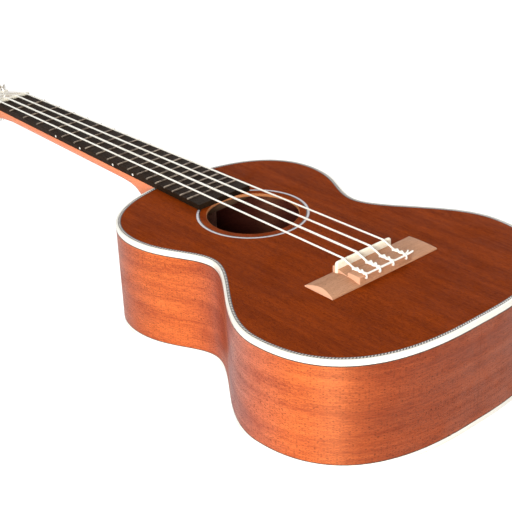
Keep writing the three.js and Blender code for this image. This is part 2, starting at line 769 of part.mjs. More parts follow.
// Worm thread: the radius swells where the turning thread passes
function wormShaft() {
  const tip = wormRadius + gearModule * toothAddendumShare;
  const root = wormRadius - gearModule * toothDedendumShare;
  const tipHalf = toothHalf - (tip - wormRadius) * flankRun;
  const rootHalf = toothHalf + (wormRadius - root) * flankRun;
  const around = 12;
  const steps = Math.round((wormLength / wormPitch) * 4);
  const radiusAt = (x, angle) => {
    const turns = x / wormPitch - angle / (2 * Math.PI);
    const offset = Math.abs(turns - Math.round(turns)) * wormPitch;
    const share = THREE.MathUtils.clamp((rootHalf - offset) / (rootHalf - tipHalf), 0, 1);
    return mix(root, tip, share);
  };
  const ring = (x, radius) => Array.from({ length: around }, (_, step) => {
    const angle = (2 * Math.PI * step) / around;
    const size = radius || radiusAt(x, angle);
    return [x, wormPlace + size * Math.cos(angle), gearMiddle + size * Math.sin(angle)];
  });
  const half = wormLength / 2;
  const thread = Array.from({ length: steps + 1 }, (_, step) => ring(-half + (wormLength * step) / steps));
  const inner = -tunerPlateHalfWidth - postClearance;
  const outer = buttonStart + buttonBoreDepth - seatGap;
  return skin([ring(inner, wormShaftRadius), ring(-half, wormShaftRadius), ...thread,
    ring(half, wormShaftRadius), ring(outer, wormShaftRadius)]);
}

// Folded plate screwed to the back of the head, with two ears for the worm
function tunerPlate() {
  const [foot, head] = tunerPlateEnds;
  const half = tunerPlateHalfWidth;
  const corner = half / 2;
  const outline = [[-half, foot + corner], [-corner, foot], [corner, foot], [half, foot + corner],
    [half, head - corner], [corner, head], [-corner, head], [-half, head - corner]];
  const sheet = plate(outline, plateFace, plateFace + tunerPlateThickness);
  const ears = [[-half, earThickness - half], [half - earThickness, half]].map((across) =>
    block(across, [wormPlace - earHalfLength, wormPlace + earHalfLength],
      [gearMiddle - earHalfLength, plateFace + tunerPlateThickness / 2]));
  const bore = alongX(pin(wormShaftRadius + postClearance, -2 * half, 2 * half, 12));
  const screws = tunerScrewPlaces.map((place) =>
    pin(screwHoleRadius, 2 * plateFace, 0, 8).translate(0, place, 0));
  const postBore = pin(postRadius + postClearance, 2 * plateFace, 0, 14);
  return cut(join(sheet, ...ears), bore.translate(0, wormPlace, gearMiddle), postBore, ...screws);
}

// Oval button on the end of the worm shaft: [place, width, thickness] as shares
const buttonShares = [[0, 0.34, 0.62], [0.1, 0.36, 0.68], [0.22, 0.5, 0.72], [0.38, 0.82, 0.86], [0.6, 1, 1],
  [0.8, 0.93, 0.92], [0.94, 0.66, 0.7], [1, 0.36, 0.4]];

function button() {
  const around = 12;
  const rings = buttonShares.map(([place, wide, thick]) =>
    Array.from({ length: around }, (_, step) => {
      const angle = (2 * Math.PI * step) / around;
      return [buttonStart + place * buttonLength, wormPlace + wide * buttonHalfWidth * Math.cos(angle),
        gearMiddle + thick * buttonHalfThickness * Math.sin(angle)];
    }));
  const reach = buttonStart + buttonBoreDepth;
  const bore = alongX(pin(wormShaftRadius + postClearance, buttonStart - overrun, reach, 12));
  return cut(skin(rings), bore.translate(0, wormPlace, gearMiddle));
}

// A tuner piece, made for the treble side, goes to its place on the head
function onTuner(geometry, hand, place) {
  const moved = geometry.clone();
  if (hand < 0) moved.scale(-1, 1, 1).setIndex(Array.from(moved.index.array).reverse());
  return onHead(moved.translate(hand * postOffset, place, 0));
}

// Strings: each is one tube from its tie on the bridge to the windings on its post
const windingTurns = 2;
const windingPitch = 1.4;
const turnSteps = 24;
const tieStrand = 0.85;
const tailLength = 3;
const coilRadius = postNeckRadius + seatGap + stringRadius;
const coilStart = veneerTop + glueGap + bushingFlange + seatGap + stringRadius;
const nutStringZ = boardTop + nutRise - stringClearance;
const overBlock = tieBlockHeight + glueGap + stringClearance + stringRadius;

// The tie, counted back from the bridge's front edge and up from the soundboard:
// through the hole, back over the block, across the string and out to the rear
function tiePoints(x) {
  const low = tieHoleHeight;
  const strand = tieStrand;
  const rear = tieBlockEnd;
  const front = tieBlockStart;
  const bend = stringDiameter;
  const tail = saddleStringSpacing - 3 * strand - 2 * stringDiameter;
  const loop = [[0, front - bend, low], [0, rear + bend / 2, low], [-strand / 3, rear + bend, low + bend / 2],
    [-strand / 2, rear + bend, overBlock - bend], [-strand, rear + bend / 3, overBlock - bend / 5],
    [-strand, rear - bend, overBlock], [-strand, front + bend / 2, overBlock],
    [-strand * 0.8, front - bend / 4, overBlock + bend / 6],
    [-strand / 3, front - bend, overBlock + bend / 4], [strand / 3, front - bend, overBlock + bend / 4],
    [strand * 0.8, front - bend / 4, overBlock + bend / 6],
    [strand, front + bend / 2, overBlock], [strand, rear - 3 * bend, overBlock],
    [strand * 1.5, rear - 2 * bend, overBlock], [strand * 2.5, rear - 1.5 * bend, overBlock],
    [tail, rear - 1.5 * bend, overBlock]];
  const placed = loop.map(([across, back, up]) =>
    new THREE.Vector3(x + across, fromBridge(back), bodyDepth + up));
  return placed.reverse();
}

// Over the round top of the saddle
function saddlePoints(x) {
  const radius = saddleThickness / 2 + stringClearance + stringRadius;
  const y = fromNut(saddleFromNut);
  const drop = saddleStringHeight - tieHoleHeight;
  const slope = Math.atan2(drop, bridgeFromNut + tieBlockStart - saddleFromNut);
  return [1, 1 / 2, 0].map((share) => {
    const angle = slope * share;
    return new THREE.Vector3(x, y - radius * Math.sin(angle),
      bodyDepth + saddleStringHeight - radius * (1 - Math.cos(angle)));
  });
}

// Round the post, from where the string meets it up towards the hole
function windingPoints(start, hand, place) {
  const centre = new THREE.Vector2(hand * postOffset, place);
  let touch = centre.clone();
  let angle = 0;
  for (let pass = 0; pass < 4; pass += 1) {
    const way = touch.clone().sub(start).normalize();
    angle = Math.atan2(hand * way.x, way.y);
    touch = new THREE.Vector2(-hand * coilRadius * Math.cos(angle), coilRadius * Math.sin(angle)).add(centre);
  }
  const count = windingTurns * turnSteps;
  const winding = Array.from({ length: count + 1 }, (_, step) => {
    const turn = angle + (2 * Math.PI * step) / turnSteps;
    return new THREE.Vector3(centre.x - hand * coilRadius * Math.cos(turn),
      centre.y + coilRadius * Math.sin(turn), coilStart + (windingPitch * step) / turnSteps);
  });
  const end = winding.at(-1).clone().sub(winding.at(-2)).normalize();
  winding.push(winding.at(-1).clone().addScaledVector(end, tailLength));
  return winding;
}

function stringPoints(number) {
  const hand = number < 2 ? -1 : 1;
  const place = postPlaces[number === 1 || number === 2 ? 1 : 0];
  const nutX = stringXs(nutStringSpacing)[number];
  const nutMiddle = new THREE.Vector3(nutX, nutY + nutLength / 2, nutStringZ);
  const local = nutMiddle.clone().sub(headStart).applyAxisAngle(new THREE.Vector3(1, 0, 0), headTilt);
  const winding = windingPoints(new THREE.Vector2(local.x, local.y), hand, place)
    .map((point) => point.applyAxisAngle(new THREE.Vector3(1, 0, 0), -headTilt).add(headStart));
  const saddleX = stringXs(saddleStringSpacing)[number];
  return [...tiePoints(saddleX), ...saddlePoints(saddleX), new THREE.Vector3(nutX, nutY, nutStringZ),
    nutMiddle, ...winding];
}

// The least gap between stretches of one tube that aren't next to each other
function leastGap(points, diameter) {
  const along = [];
  points.slice(1).forEach((point, index) => {
    const count = Math.min(60, Math.ceil(point.distanceTo(points[index]) / (diameter / 3)));
    for (let step = 0; step < count; step += 1) along.push(points[index].clone().lerp(point, step / count));
  });
  let travelled = 0;
  const reach = along.map((point, index) => {
    travelled += index ? point.distanceTo(along[index - 1]) : 0;
    return travelled;
  });
  let least = Infinity;
  along.forEach((point, index) => {
    for (let other = index + 1; other < along.length; other += 1) {
      const apart = reach[other] - reach[index] > 5 * diameter;
      if (apart) least = Math.min(least, point.distanceTo(along[other]));
    }
  });
  return least - diameter;
}

function nut() {
  const top = boardTop + nutRise;
  const foot = bodyDepth + glueGap;
  const section = [[nutY, foot], [nutY + nutLength, foot], [nutY + nutLength, top - nutBackDrop],
    [nutY + nutLength / 2, top], [nutY, top]];
  const grooves = [0, 1, 2, 3].map((number) => {
    const points = stringPoints(number);
    const middle = points.length - windingTurns * turnSteps - 3;
    const before = points[middle - 1].clone().add(new THREE.Vector3(0, -overrun, 0));
    const after = points[middle + 1].clone().sub(points[middle]).normalize();
    const beyond = points[middle].clone().addScaledVector(after, nutLength);
    return tube([before, points[middle], beyond], stringRadius + stringClearance, 8);
  });
  return cut(bar(section, -nutWidth / 2, nutWidth / 2), ...grooves);
}

// Materials
const finish = (color, roughness, metalness = 0) =>
  new THREE.MeshStandardMaterial({ color, roughness, metalness, flatShading: true });
const topWood = finish(0x84371a, 0.45);
const sideWood = finish(0xb4552c, 0.45);
const innerWood = finish(0xb98d5f, 0.8);
const neckWood = finish(0xd0774a, 0.5);
const boardWood = finish(0x2b211b, 0.6);
const bridgeWood = finish(0xc8966e, 0.6);
const cream = finish(0xf0ebdc, 0.4);
const nylon = finish(0xf4efe0, 0.35);
const fretMetal = finish(0xa9a59c, 0.35, 0.9);
const tunerMetal = finish(0xc9cacc, 0.25, 1);

const ukulele = new THREE.Group();

function add(name, geometry, material) {
  const mesh = new THREE.Mesh(geometry, material);
  mesh.name = name;
  ukulele.add(mesh);
}

add('soundboard', soundboard(), topWood);
add('back', backPlate(), sideWood);
sides.forEach(([name, hand]) => add(`side_${name}`, side(hand), sideWood));
add('neck_block', neckBlock(), innerWood);
add('tail_block', tailBlock(), innerWood);
add('bridge_patch', bridgePatch(), innerWood);
add('top_binding', topBinding(), cream);
add('back_binding', backBinding(), cream);
add('top_purfling', topPurfling(), cream);
add('rosette', rosette(), cream);
add('neck', neck(), neckWood);
add('heel_cap', heelCap(), cream);
add('head_veneer', veneer(), cream);
add('fretboard', fretboard(), boardWood);
fretPlaces().forEach((place, fret) =>
  add(`fret_${String(fret + 1).padStart(2, '0')}`, fretWire(place), fretMetal));
add('nut', nut(), cream);
add('bridge', bridge(), bridgeWood);
add('saddle', saddle(), cream);

['g', 'c', 'e', 'a'].forEach((note, number) => {
  const hand = number < 2 ? -1 : 1;
  const place = postPlaces[number === 1 || number === 2 ? 1 : 0];
  add(`tuner_plate_${note}`, onTuner(tunerPlate(), hand, place), tunerMetal);
  add(`worm_shaft_${note}`, onTuner(wormShaft(), hand, place), tunerMetal);
  add(`tuner_button_${note}`, onTuner(button(), hand, place), cream);
  add(`post_${note}`, onTuner(post(), hand, place), tunerMetal);
  add(`bushing_${note}`, onTuner(geometryOf(solidOf(bushing())), hand, place), tunerMetal);
  const points = stringPoints(number);
  add(`string_${note}`, tube(points, stringRadius), nylon);
  console.log(`string ${note}: least gap to itself ${leastGap(points, stringDiameter).toFixed(2)} mm`);
});

export default ukulele;
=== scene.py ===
"""A tenor ukulele on a pale floor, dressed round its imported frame."""

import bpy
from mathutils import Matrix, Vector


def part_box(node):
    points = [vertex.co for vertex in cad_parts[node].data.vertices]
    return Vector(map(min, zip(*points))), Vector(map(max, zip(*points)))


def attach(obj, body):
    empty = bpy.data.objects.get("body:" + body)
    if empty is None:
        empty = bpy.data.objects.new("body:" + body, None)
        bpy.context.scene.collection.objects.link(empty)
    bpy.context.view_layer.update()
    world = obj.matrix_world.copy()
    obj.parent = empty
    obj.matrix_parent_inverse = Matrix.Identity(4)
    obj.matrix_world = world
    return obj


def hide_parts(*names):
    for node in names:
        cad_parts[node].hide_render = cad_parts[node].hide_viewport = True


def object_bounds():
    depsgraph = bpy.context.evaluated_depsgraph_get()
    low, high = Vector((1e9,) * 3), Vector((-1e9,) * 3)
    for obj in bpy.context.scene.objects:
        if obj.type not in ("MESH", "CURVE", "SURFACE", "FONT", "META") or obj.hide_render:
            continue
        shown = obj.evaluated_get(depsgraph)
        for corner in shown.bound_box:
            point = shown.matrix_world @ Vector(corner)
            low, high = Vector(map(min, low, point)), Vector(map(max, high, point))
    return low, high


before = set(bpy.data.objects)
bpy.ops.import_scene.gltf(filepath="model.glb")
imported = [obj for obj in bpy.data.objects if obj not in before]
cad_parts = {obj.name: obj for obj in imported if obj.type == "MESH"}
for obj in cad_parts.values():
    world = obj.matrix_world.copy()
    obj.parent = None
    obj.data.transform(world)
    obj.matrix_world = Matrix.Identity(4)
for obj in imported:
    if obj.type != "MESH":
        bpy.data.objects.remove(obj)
solid_low, solid_high = [list(corner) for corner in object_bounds()]

import math

import bmesh
import bpy
import numpy as np
from mathutils import Matrix, Vector

# Camera: a long lens low over the tail, looking up the neck from the bass side.
# Its place and turn were worked out from the frets, the bridge and the body's edges.
camera_place, camera_lens, camera_reach = (-0.5356, -0.5697, 0.4738), 89.6, (0.01, 50)
azimuth, elevation, roll = (math.radians(angle) for angle in (-40.4, 27.44, -2.31))


def placed(name, data):
    """A new object in the scene."""
    thing = bpy.data.objects.new(name, data)
    bpy.context.collection.objects.link(thing)
    return thing


camera_back = Vector((math.sin(azimuth) * math.cos(elevation), -math.cos(azimuth) * math.cos(elevation),
                      math.sin(elevation)))
camera_right = Vector((math.cos(azimuth), math.sin(azimuth), 0))
camera_turn = (Matrix((camera_right, camera_back.cross(camera_right), camera_back)).transposed()
               @ Matrix.Rotation(roll, 3, "Z"))
camera_data = bpy.data.cameras.new("camera")
camera_data.lens = camera_lens
camera_data.clip_start, camera_data.clip_end = camera_reach
camera = placed("camera", camera_data)
camera.matrix_world = Matrix.Translation(camera_place) @ camera_turn.to_4x4()
bpy.context.scene.camera = camera
bpy.context.scene.view_settings.view_transform = "Standard"

# Light: a broad soft box on the bass side with a low one beside it, two weaker ones behind the body and an
# even pale room. Each lamp has its place, size, power and colour, and faces the body.
room_strength, white = 0.27, (1, 1, 1, 1)
lamp_target = Vector((0, -0.02, 0.05))
lamps = {"key_light": ((-1.55, -1.15, 0.75), 0.9, 36, (1, 0.985, 0.96)),
         "low_light": ((-1.30, -0.98, 0.18), 1.1, 20, (1, 0.985, 0.96)),
         "fill_light": ((1.6, 0.5, 1.2), 1.2, 9, (0.97, 0.985, 1)),
         "top_light": ((0.3, 0.8, 1.8), 1.2, 10, (1, 1, 1))}
for name, (place, size, power, colour) in lamps.items():
    lamp = bpy.data.lights.new(name, "AREA")
    lamp.shape, lamp.size, lamp.energy, lamp.color = "DISK", size, power, colour
    aim = (lamp_target - Vector(place)).to_track_quat("-Z", "Y").to_matrix().to_4x4()
    placed(name, lamp).matrix_world = Matrix.Translation(place) @ aim


def adder(tree):
    """add(kind, inputs, output, **settings) makes a node. An input is a value or a socket to join from.
    It gives the output asked for, or the node itself."""
    def add(kind, inputs=None, output=0, **settings):
        node = tree.nodes.new(kind if kind.startswith("NodeGroup") else "ShaderNode" + kind)
        for key, value in settings.items():
            setattr(node, key, value)
        for key, value in (inputs or {}).items():
            if isinstance(value, bpy.types.NodeSocket):
                tree.links.new(value, node.inputs[key])
            else:
                node.inputs[key].default_value = value
        return node if output is None or not node.outputs else node.outputs[output]
    return add


def emptied(owner):
    """The adder of a world's or a material's node tree, which starts empty."""
    owner.use_nodes = True
    owner.node_tree.nodes.clear()
    return adder(owner.node_tree)


def maths(add, operation, first, *others):
    """Values joined one after the other by one operation."""
    for other in others:
        first = add("Math", {0: first, 1: other}, operation=operation)
    return first


def seen_by(add, *rays):
    """One where a ray of one of these kinds looks."""
    path = add("LightPath", output=None).outputs
    return maths(add, "MAXIMUM", *(path["Is %s Ray" % ray] for ray in rays))


world = bpy.data.worlds.new("room")
bpy.context.scene.world = world
add = emptied(world)
room = [add("Background", {"Color": white, "Strength": strength}) for strength in (room_strength, 1.0)]
seen = seen_by(add, "Camera", "Glossy", "Transmission")
add("OutputWorld", {"Surface": add("MixShader", {0: seen, 1: room[0], 2: room[1]})})

# Floor: one pale sheet under the body. Seen straight on it is white and keeps a soft shadow.
# It lies a fifth of a millimetre below the back, and isn't part of the object.
floor_half, floor_gap, floor_colour, floor_glow = 6.0, 0.0002, (0.50, 0.50, 0.495, 1), 0.84
floor_mesh = bpy.data.meshes.new("floor")
floor_mesh.from_pydata([(x * floor_half, y * floor_half, 0) for x, y in ((-1, -1), (1, -1), (1, 1), (-1, 1))],
                       [], [(0, 1, 2, 3)])
floor = placed("floor", floor_mesh)
floor.location.z = solid_low[2] - floor_gap
pale_floor = bpy.data.materials.new("pale_floor")
add = emptied(pale_floor)
matt = add("BsdfDiffuse", {"Color": floor_colour})
glowing = add("AddShader", {0: matt, 1: add("Emission", {"Color": white, "Strength": floor_glow})})
shown = add("MixShader", {0: seen_by(add, "Camera", "Glossy"), 1: matt, 2: glowing})
add("OutputMaterial", {"Surface": shown})
floor_mesh.materials.append(pale_floor)

# Soundboard: a thin flat plate of open-pored mahogany with a round hole near its middle.
# The grain runs along the strings, and the cut edge of the hole shows the paler core.
MM = 0.001
binding_low, binding_high = (np.array(corner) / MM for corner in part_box("top_binding"))
lower_bout, body_length = (binding_high - binding_low)[:2]
half_length, body_depth = body_length / 2, binding_high[2]
upper_bout, waist, curve_points = 176.4, 138.0, 40
half_points = 4 * curve_points + 1
top_thickness, hole_radius, hole_edge = 2.4, 33.4, 0.35
hole_centre = sum(np.array(corner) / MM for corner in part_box("rosette")) / 2
rosette_inner, rosette_outer, rosette_depth = 38.4, 40.9, 0.9
binding_width, purfling_width, purfling_depth, glue = 1.6, 2.0, 1.2, 0.05
top_under, plate_inset = body_depth - top_thickness, binding_width + glue
purfling_end = plate_inset + purfling_width + glue


def bezier(corners, count):
    """(1-t)^3 a + 3(1-t)^2 t b + 3(1-t) t^2 c + t^3 d, and its direction, at count even steps of t."""
    a, b, c, d = (np.array(corner, float) for corner in corners)
    t = np.linspace(0, 1, count, endpoint=False)[:, None]
    place = (1 - t) ** 3 * a + 3 * (1 - t) ** 2 * t * b + 3 * (1 - t) * t ** 2 * c + t ** 3 * d
    along = (1 - t) ** 2 * (b - a) + 2 * (1 - t) * t * (c - b) + t ** 2 * (d - c)
    return place, along / np.linalg.norm(along, axis=1)[:, None]


def half_outline():
    """The treble half of the body from the neck to the tail: four curves that meet at each bout and the
    waist. Each end and handle is a share of the body's length."""
    low, mid, up = lower_bout / 2, waist / 2, upper_bout / 2
    shares = [[(0, 0), (0.217 * body_length, 0), (up, 0.098), (up, 0.201)],
              [(up, 0.201), (up, 0.302), (mid, 0.351), (mid, 0.412)],
              [(mid, 0.412), (mid, 0.494), (low, 0.603), (low, 0.731)],
              [(low, 0.731), (low, 1.011), (0.095 * body_length, 1), (0, 1)]]
    curves = [[(x, half_length - share * body_length) for x, share in curve] for curve in shares]
    places, ways = zip(*(bezier(curve, curve_points) for curve in curves))
    return np.vstack((*places, [[0, -half_length]])), np.vstack((*ways, [[-1.0, 0]]))


def outline(inset):
    """The whole outline moved inward: each place plus inset times the normal to the left of the way back."""
    place, way = half_outline()
    inner = place + inset * np.column_stack((way[:, 1], -way[:, 0]))
    inner[[0, -1], 0] = 0
    return np.vstack((inner, (inner * [-1, 1])[-2:0:-1]))


def level(plan, z):
    """A flat outline set at a height."""
    return np.column_stack((plan, np.full(len(plan), z)))


def loft(rings, closed=False):
    """A skin over rings of equal count: point (r, c) has the number r * columns + c, and four neighbours make
    a face. The two end rings are faces too, unless the last ring joins the first."""
    rings = np.asarray(rings, float)
    rows, columns = rings.shape[:2]
    r, c = np.indices((rows if closed else rows - 1, columns)).reshape(2, -1)
    after, beside = (r + 1) % rows * columns, (c + 1) % columns
    faces = np.column_stack((r * columns + c, after + c, after + beside, r * columns + beside)).tolist()
    if not closed:
        faces += [list(range(columns)), list(range((rows - 1) * columns, rows * columns))]
    return rings.reshape(-1, 3), faces


def stacked(*shapes):
    """Several shapes as one list of vertices and faces."""
    starts = np.cumsum([0] + [len(vertices) for vertices, _ in shapes])
    return np.vstack([vertices for vertices, _ in shapes]), [
        [corner + start for corner in face] for start, (_, faces) in zip(starts, shapes) for face in faces]


def shell(name, vertices, faces):
    """A closed mesh whose normals are recalculated so that its volume is positive."""
    mesh = bpy.data.meshes.new(name)
    mesh.from_pydata(np.asarray(vertices).reshape(-1, 3).tolist(), [],
                     [list(map(int, face)) for face in faces])
    mesh.validate()
    turned = bmesh.new()
    turned.from_mesh(mesh)
    bmesh.ops.recalc_face_normals(turned, faces=turned.faces)
    turned.to_mesh(mesh)
    turned.free()
    return mesh


def piece(name, shape, material, slot, stands_for="", body="root", uv=None, smooth=35):
    """A shape in millimetres, or a list of them, becomes one piece in metres that rides on a body. It is
    shaded smooth where its faces meet at less than so many degrees."""
    vertices, faces = stacked(*shape) if isinstance(shape, list) else shape
    mesh = shell(name, np.asarray(vertices) * MM, faces)
    if uv is not None:
        loops = np.empty(len(mesh.loops), int)
        mesh.loops.foreach_get("vertex_index", loops)
        mesh.uv_layers.new(name="along").data.foreach_set("uv", np.asarray(uv)[loops].ravel())
    mesh.materials.append(material)
    mesh.shade_smooth()
    mesh.set_sharp_from_angle(angle=math.radians(smooth))
    thing = placed(name, mesh)
    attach(thing, body)
    if stands_for:
        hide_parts(stands_for)


def node_group(name, inputs, outputs):
    """A shader group with typed sockets, the helper that adds to it and what it is given."""
    group = bpy.data.node_groups.new(name, "ShaderNodeTree")
    for in_out, sockets in (("INPUT", inputs), ("OUTPUT", outputs)):
        for socket, kind in sockets.items():
            group.interface.new_socket(name=socket, in_out=in_out, socket_type="NodeSocket" + kind)
    add = adder(group)
    return group, add, add("NodeGroupInput", output=None).outputs


def spread(add, value, low, high, to_low=0.0, to_high=1.0):
    """A smooth step of value from low..high to to_low..to_high."""
    return add("MapRange", {"Value": value, "From Min": low, "From Max": high, "To Min": to_low,
                            "To Max": to_high}, interpolation_type="SMOOTHSTEP")


def noise(add, where, scale, detail=2.0, distortion=0.0):
    """Cloudy noise of so many waves a metre."""
    return add("TexNoise", {"Vector": where, "Scale": scale, "Detail": detail, "Distortion": distortion})


def times(add, first, second):
    """The product of two values."""
    return maths(add, "MULTIPLY", first, second)


def blended(add, share, first, second, how="MIX"):
    """Two colours mixed by share."""
    return add("Mix", {0: share, 6: first, 7: second}, 2, data_type="RGBA", blend_type=how)


# The grain runs along Y. Broad ribbons shimmer light and dark, fine fibres and dashes streak them, and open
# pores are short dark lines.
grain, add, given = node_group(
    "mahogany_grain", {"Vector": "Vector", "Pale": "Color", "Dark": "Color", "Pore": "Color",
                       "Ribbon": "Float", "Pores": "Float"},
    {"Color": "Color", "Roughness": "Float", "Height": "Float"})
ribbon_way, fibre_way, pore_way = (add("Mapping", {"Vector": given["Vector"], "Scale": (1.0, stretch, 1.0)})
                                   for stretch in (0.13, 0.022, 0.12))
fibres = noise(add, fibre_way, 780.0, 3.0)
banded = maths(
    add, "ADD", times(add, spread(add, noise(add, ribbon_way, 95.0, 2.5, 0.5), 0.30, 0.70), given["Ribbon"]),
    times(add, spread(add, fibres, 0.25, 0.75), 0.30),
    times(add, spread(add, noise(add, pore_way, 1250.0), 0.38, 0.68), 0.34),
    times(add, spread(add, noise(add, given["Vector"], 14.0), 0.30, 0.70), 0.16))
pore_edge = maths(add, "SUBTRACT", 0.65, times(add, noise(add, fibre_way, 130.0, 1.0), 0.14))
pore_mask = maths(add, "SUBTRACT", noise(add, pore_way, 4300.0, 1.0), pore_edge)
pore_mask = times(add, spread(add, pore_mask, 0.0, 0.05), given["Pores"])
add("NodeGroupOutput", {
    "Color": blended(add, pore_mask, blended(add, banded, given["Pale"], given["Dark"]), given["Pore"]),
    "Roughness": maths(add, "ADD", spread(add, fibres, 0.2, 0.8, 0.36, 0.47), times(add, pore_mask, 0.2)),
    "Height": maths(add, "SUBTRACT", times(add, fibres, 0.30), pore_mask)})

# Handling: faint smudges and dust that dull a polished surface here and there.
handling, add, given = node_group("handling", {"Vector": "Vector", "Roughness": "Float", "Amount": "Float"},
                                  {"Roughness": "Float"})
smears = spread(add, noise(add, given["Vector"], 38.0, 4.0, 0.8), 0.42, 0.72)
specks = times(add, spread(add, noise(add, given["Vector"], 900.0, 1.0), 0.66, 0.72), 0.5)
dull = times(add, maths(add, "ADD", smears, specks), given["Amount"])
add("NodeGroupOutput", {"Roughness": maths(add, "ADD", given["Roughness"], dull)})


def handled(add, where, roughness, amount):
    """A roughness with the handling's smudges on it."""
    return add("Group", {"Vector": where, "Roughness": roughness, "Amount": amount}, node_tree=handling)


def timber(add, where, pale, dark, pore, ribbon, pores):
    """The grain group's outputs for a timber's three tones and two strengths."""
    return add("Group", {"Vector": where, "Pale": (*pale, 1), "Dark": (*dark, 1), "Pore": (*pore, 1),
                         "Ribbon": ribbon, "Pores": pores}, None, node_tree=grain).outputs


def relief(add, height, strength, distance, invert=False):
    """A normal bumped by a height."""
    return add("Bump", {"Height": height, "Strength": strength, "Distance": distance}, invert=invert)


def finish(name, source="Object"):
    """A new material: its adder, its coordinates, and the call that gives it one Principled shader."""
    made = bpy.data.materials.new(name)
    add = emptied(made)

    def shade(sockets):
        add("OutputMaterial", {"Surface": add("BsdfPrincipled", sockets)})
        return made
    return add, add("TexCoord", output=source), shade


def wood(name, pale, dark, pore, ribbon=0.5, pores=1.0, from_uv=False, turn=(0.0, 0.0, 0.0), gloss=0.1,
         bump=0.35, smear=0.12, shift=(0.0, 0.0, 0.0), shine=0.15, glow=0.0, other=None):
    """Finished timber: the grain group under a thin satin coat, along the piece's Y or its own UV map. Glow
    spreads the sheen across the fibres; other(add, place) gives shares and colours laid over the grain."""
    add, place, shade = finish(name, "UV" if from_uv else "Object")
    where = add("Mapping", {"Vector": place, "Rotation": turn, "Location": shift})
    grown = timber(add, where, pale, dark, pore, ribbon, pores)
    colour = grown["Color"]
    for share, laid, how in (other(add, place) if other else ()):
        colour = blended(add, share, colour, laid, how)
    sockets = {"Base Color": colour, "Roughness": handled(add, where, grown["Roughness"], smear),
               "Normal": relief(add, grown["Height"], bump, 0.00012), "Anisotropic": glow,
               "Specular IOR Level": shine, "Coat Weight": gloss, "Coat Roughness": 0.22}
    if glow:
        sockets.update({"Specular Tint": (1.0, 0.48, 0.22, 1),
                        "Tangent": add("Tangent", direction_type="UV_MAP", uv_map="along")})
    return shade(sockets)


def cut_edge(add, place):
    """The bare paler wood on the wall of the hole: wherever sqrt(x^2 + (y - centre)^2) is its radius."""
    flat = add("VectorMath", {0: place, 1: (1.0, 1.0, 0.0)}, operation="MULTIPLY")
    away = add("VectorMath", {0: flat, 1: (hole_centre[0] * MM, hole_centre[1] * MM, 0.0)}, "Value",
               operation="DISTANCE")
    wall = spread(add, away, (hole_radius + 0.1) * MM, (hole_radius + 0.4) * MM, 0.85, 0.0)
    return [(wall, (0.66, 0.27, 0.11, 1), "MIX")]


top_mahogany = wood("top_mahogany", (0.322, 0.050, 0.0030), (0.175, 0.025, 0.0022), (0.045, 0.007, 0.001),
                    ribbon=0.42, pores=0.6, gloss=0.0, shine=0.015, other=cut_edge)
rim = outline(purfling_end)
rays = (rim - hole_centre[:2]) / np.linalg.norm(rim - hole_centre[:2], axis=1)[:, None]
groove_floor = body_depth - rosette_depth
rings = [level(hole_centre[:2] + rays * radius, z) for radius, z in (
    (hole_radius, top_under + hole_edge), (hole_radius, body_depth - hole_edge),
    (hole_radius + hole_edge * 0.3, body_depth - hole_edge * 0.3), (hole_radius + hole_edge, body_depth),
    (rosette_inner, body_depth), (rosette_inner, groove_floor), (rosette_outer, groove_floor),
    (rosette_outer, body_depth))]
rings += [level(outline(inset), z) for inset, z in (
    (purfling_end, body_depth), (purfling_end, body_depth - purfling_depth),
    (plate_inset, body_depth - purfling_depth), (plate_inset, top_under))]
rings.append(level(hole_centre[:2] + rays * (hole_radius + hole_edge), top_under))
piece("soundboard_plate", loft(rings, True), top_mahogany, "top_wood", "soundboard", smooth=30)

# Top bars and struts: quartered spruce glued across the inside of the soundboard, two bars at the
# sound hole and three struts behind them. Their ends are carved down thin.
lining_inset, brace_width, brace_height, bar_to_hole, bar_end_gap = 7.2, 7.0, 13.0, 13.8, 0.6
bar_end_height, bar_swell, bar_steps = 0.28, 0.72, 33
strut_spread, strut_width, strut_height, strut_foot, strut_gap = 34.0, 5.0, 6.0, 22.0 - half_length, 17.3
nut_y, bridge_from_nut, bridge_length = 384.1, 428.8, 25.7
bridge_front = nut_y - bridge_from_nut
patch_y = bridge_front - bridge_length / 2
bare_spruce, strut_spruce = (
    wood(name, (0.26, 0.145, 0.085), (0.17, 0.09, 0.05), (0.09, 0.045, 0.025), ribbon=0.35, pores=0.15,
         gloss=0.0, smear=0.25, turn=(0, 0, turn))
    for name, turn in (("bare_spruce", math.pi / 2), ("strut_spruce", 0)))


def rounded(corners, radii, steps=4):
    """A polygon whose corners are eased: round each corner p runs the quadratic curve whose handle is p and
    whose ends lie the corner's radius away along the two edges."""
    corners = np.array(corners, float)
    before, after = (np.roll(corners, way, axis=0) - corners for way in (1, -1))
    start, end = (corners + edge / np.linalg.norm(edge, axis=1)[:, None]
                  * np.broadcast_to(radii, len(corners))[:, None] for edge in (before, after))
    t = np.linspace(0, 1, steps)[None, :, None]
    arcs = (1 - t) ** 2 * start[:, None] + 2 * (1 - t) * t * corners[:, None] + t ** 2 * end[:, None]
    return arcs.reshape(-1, 2)


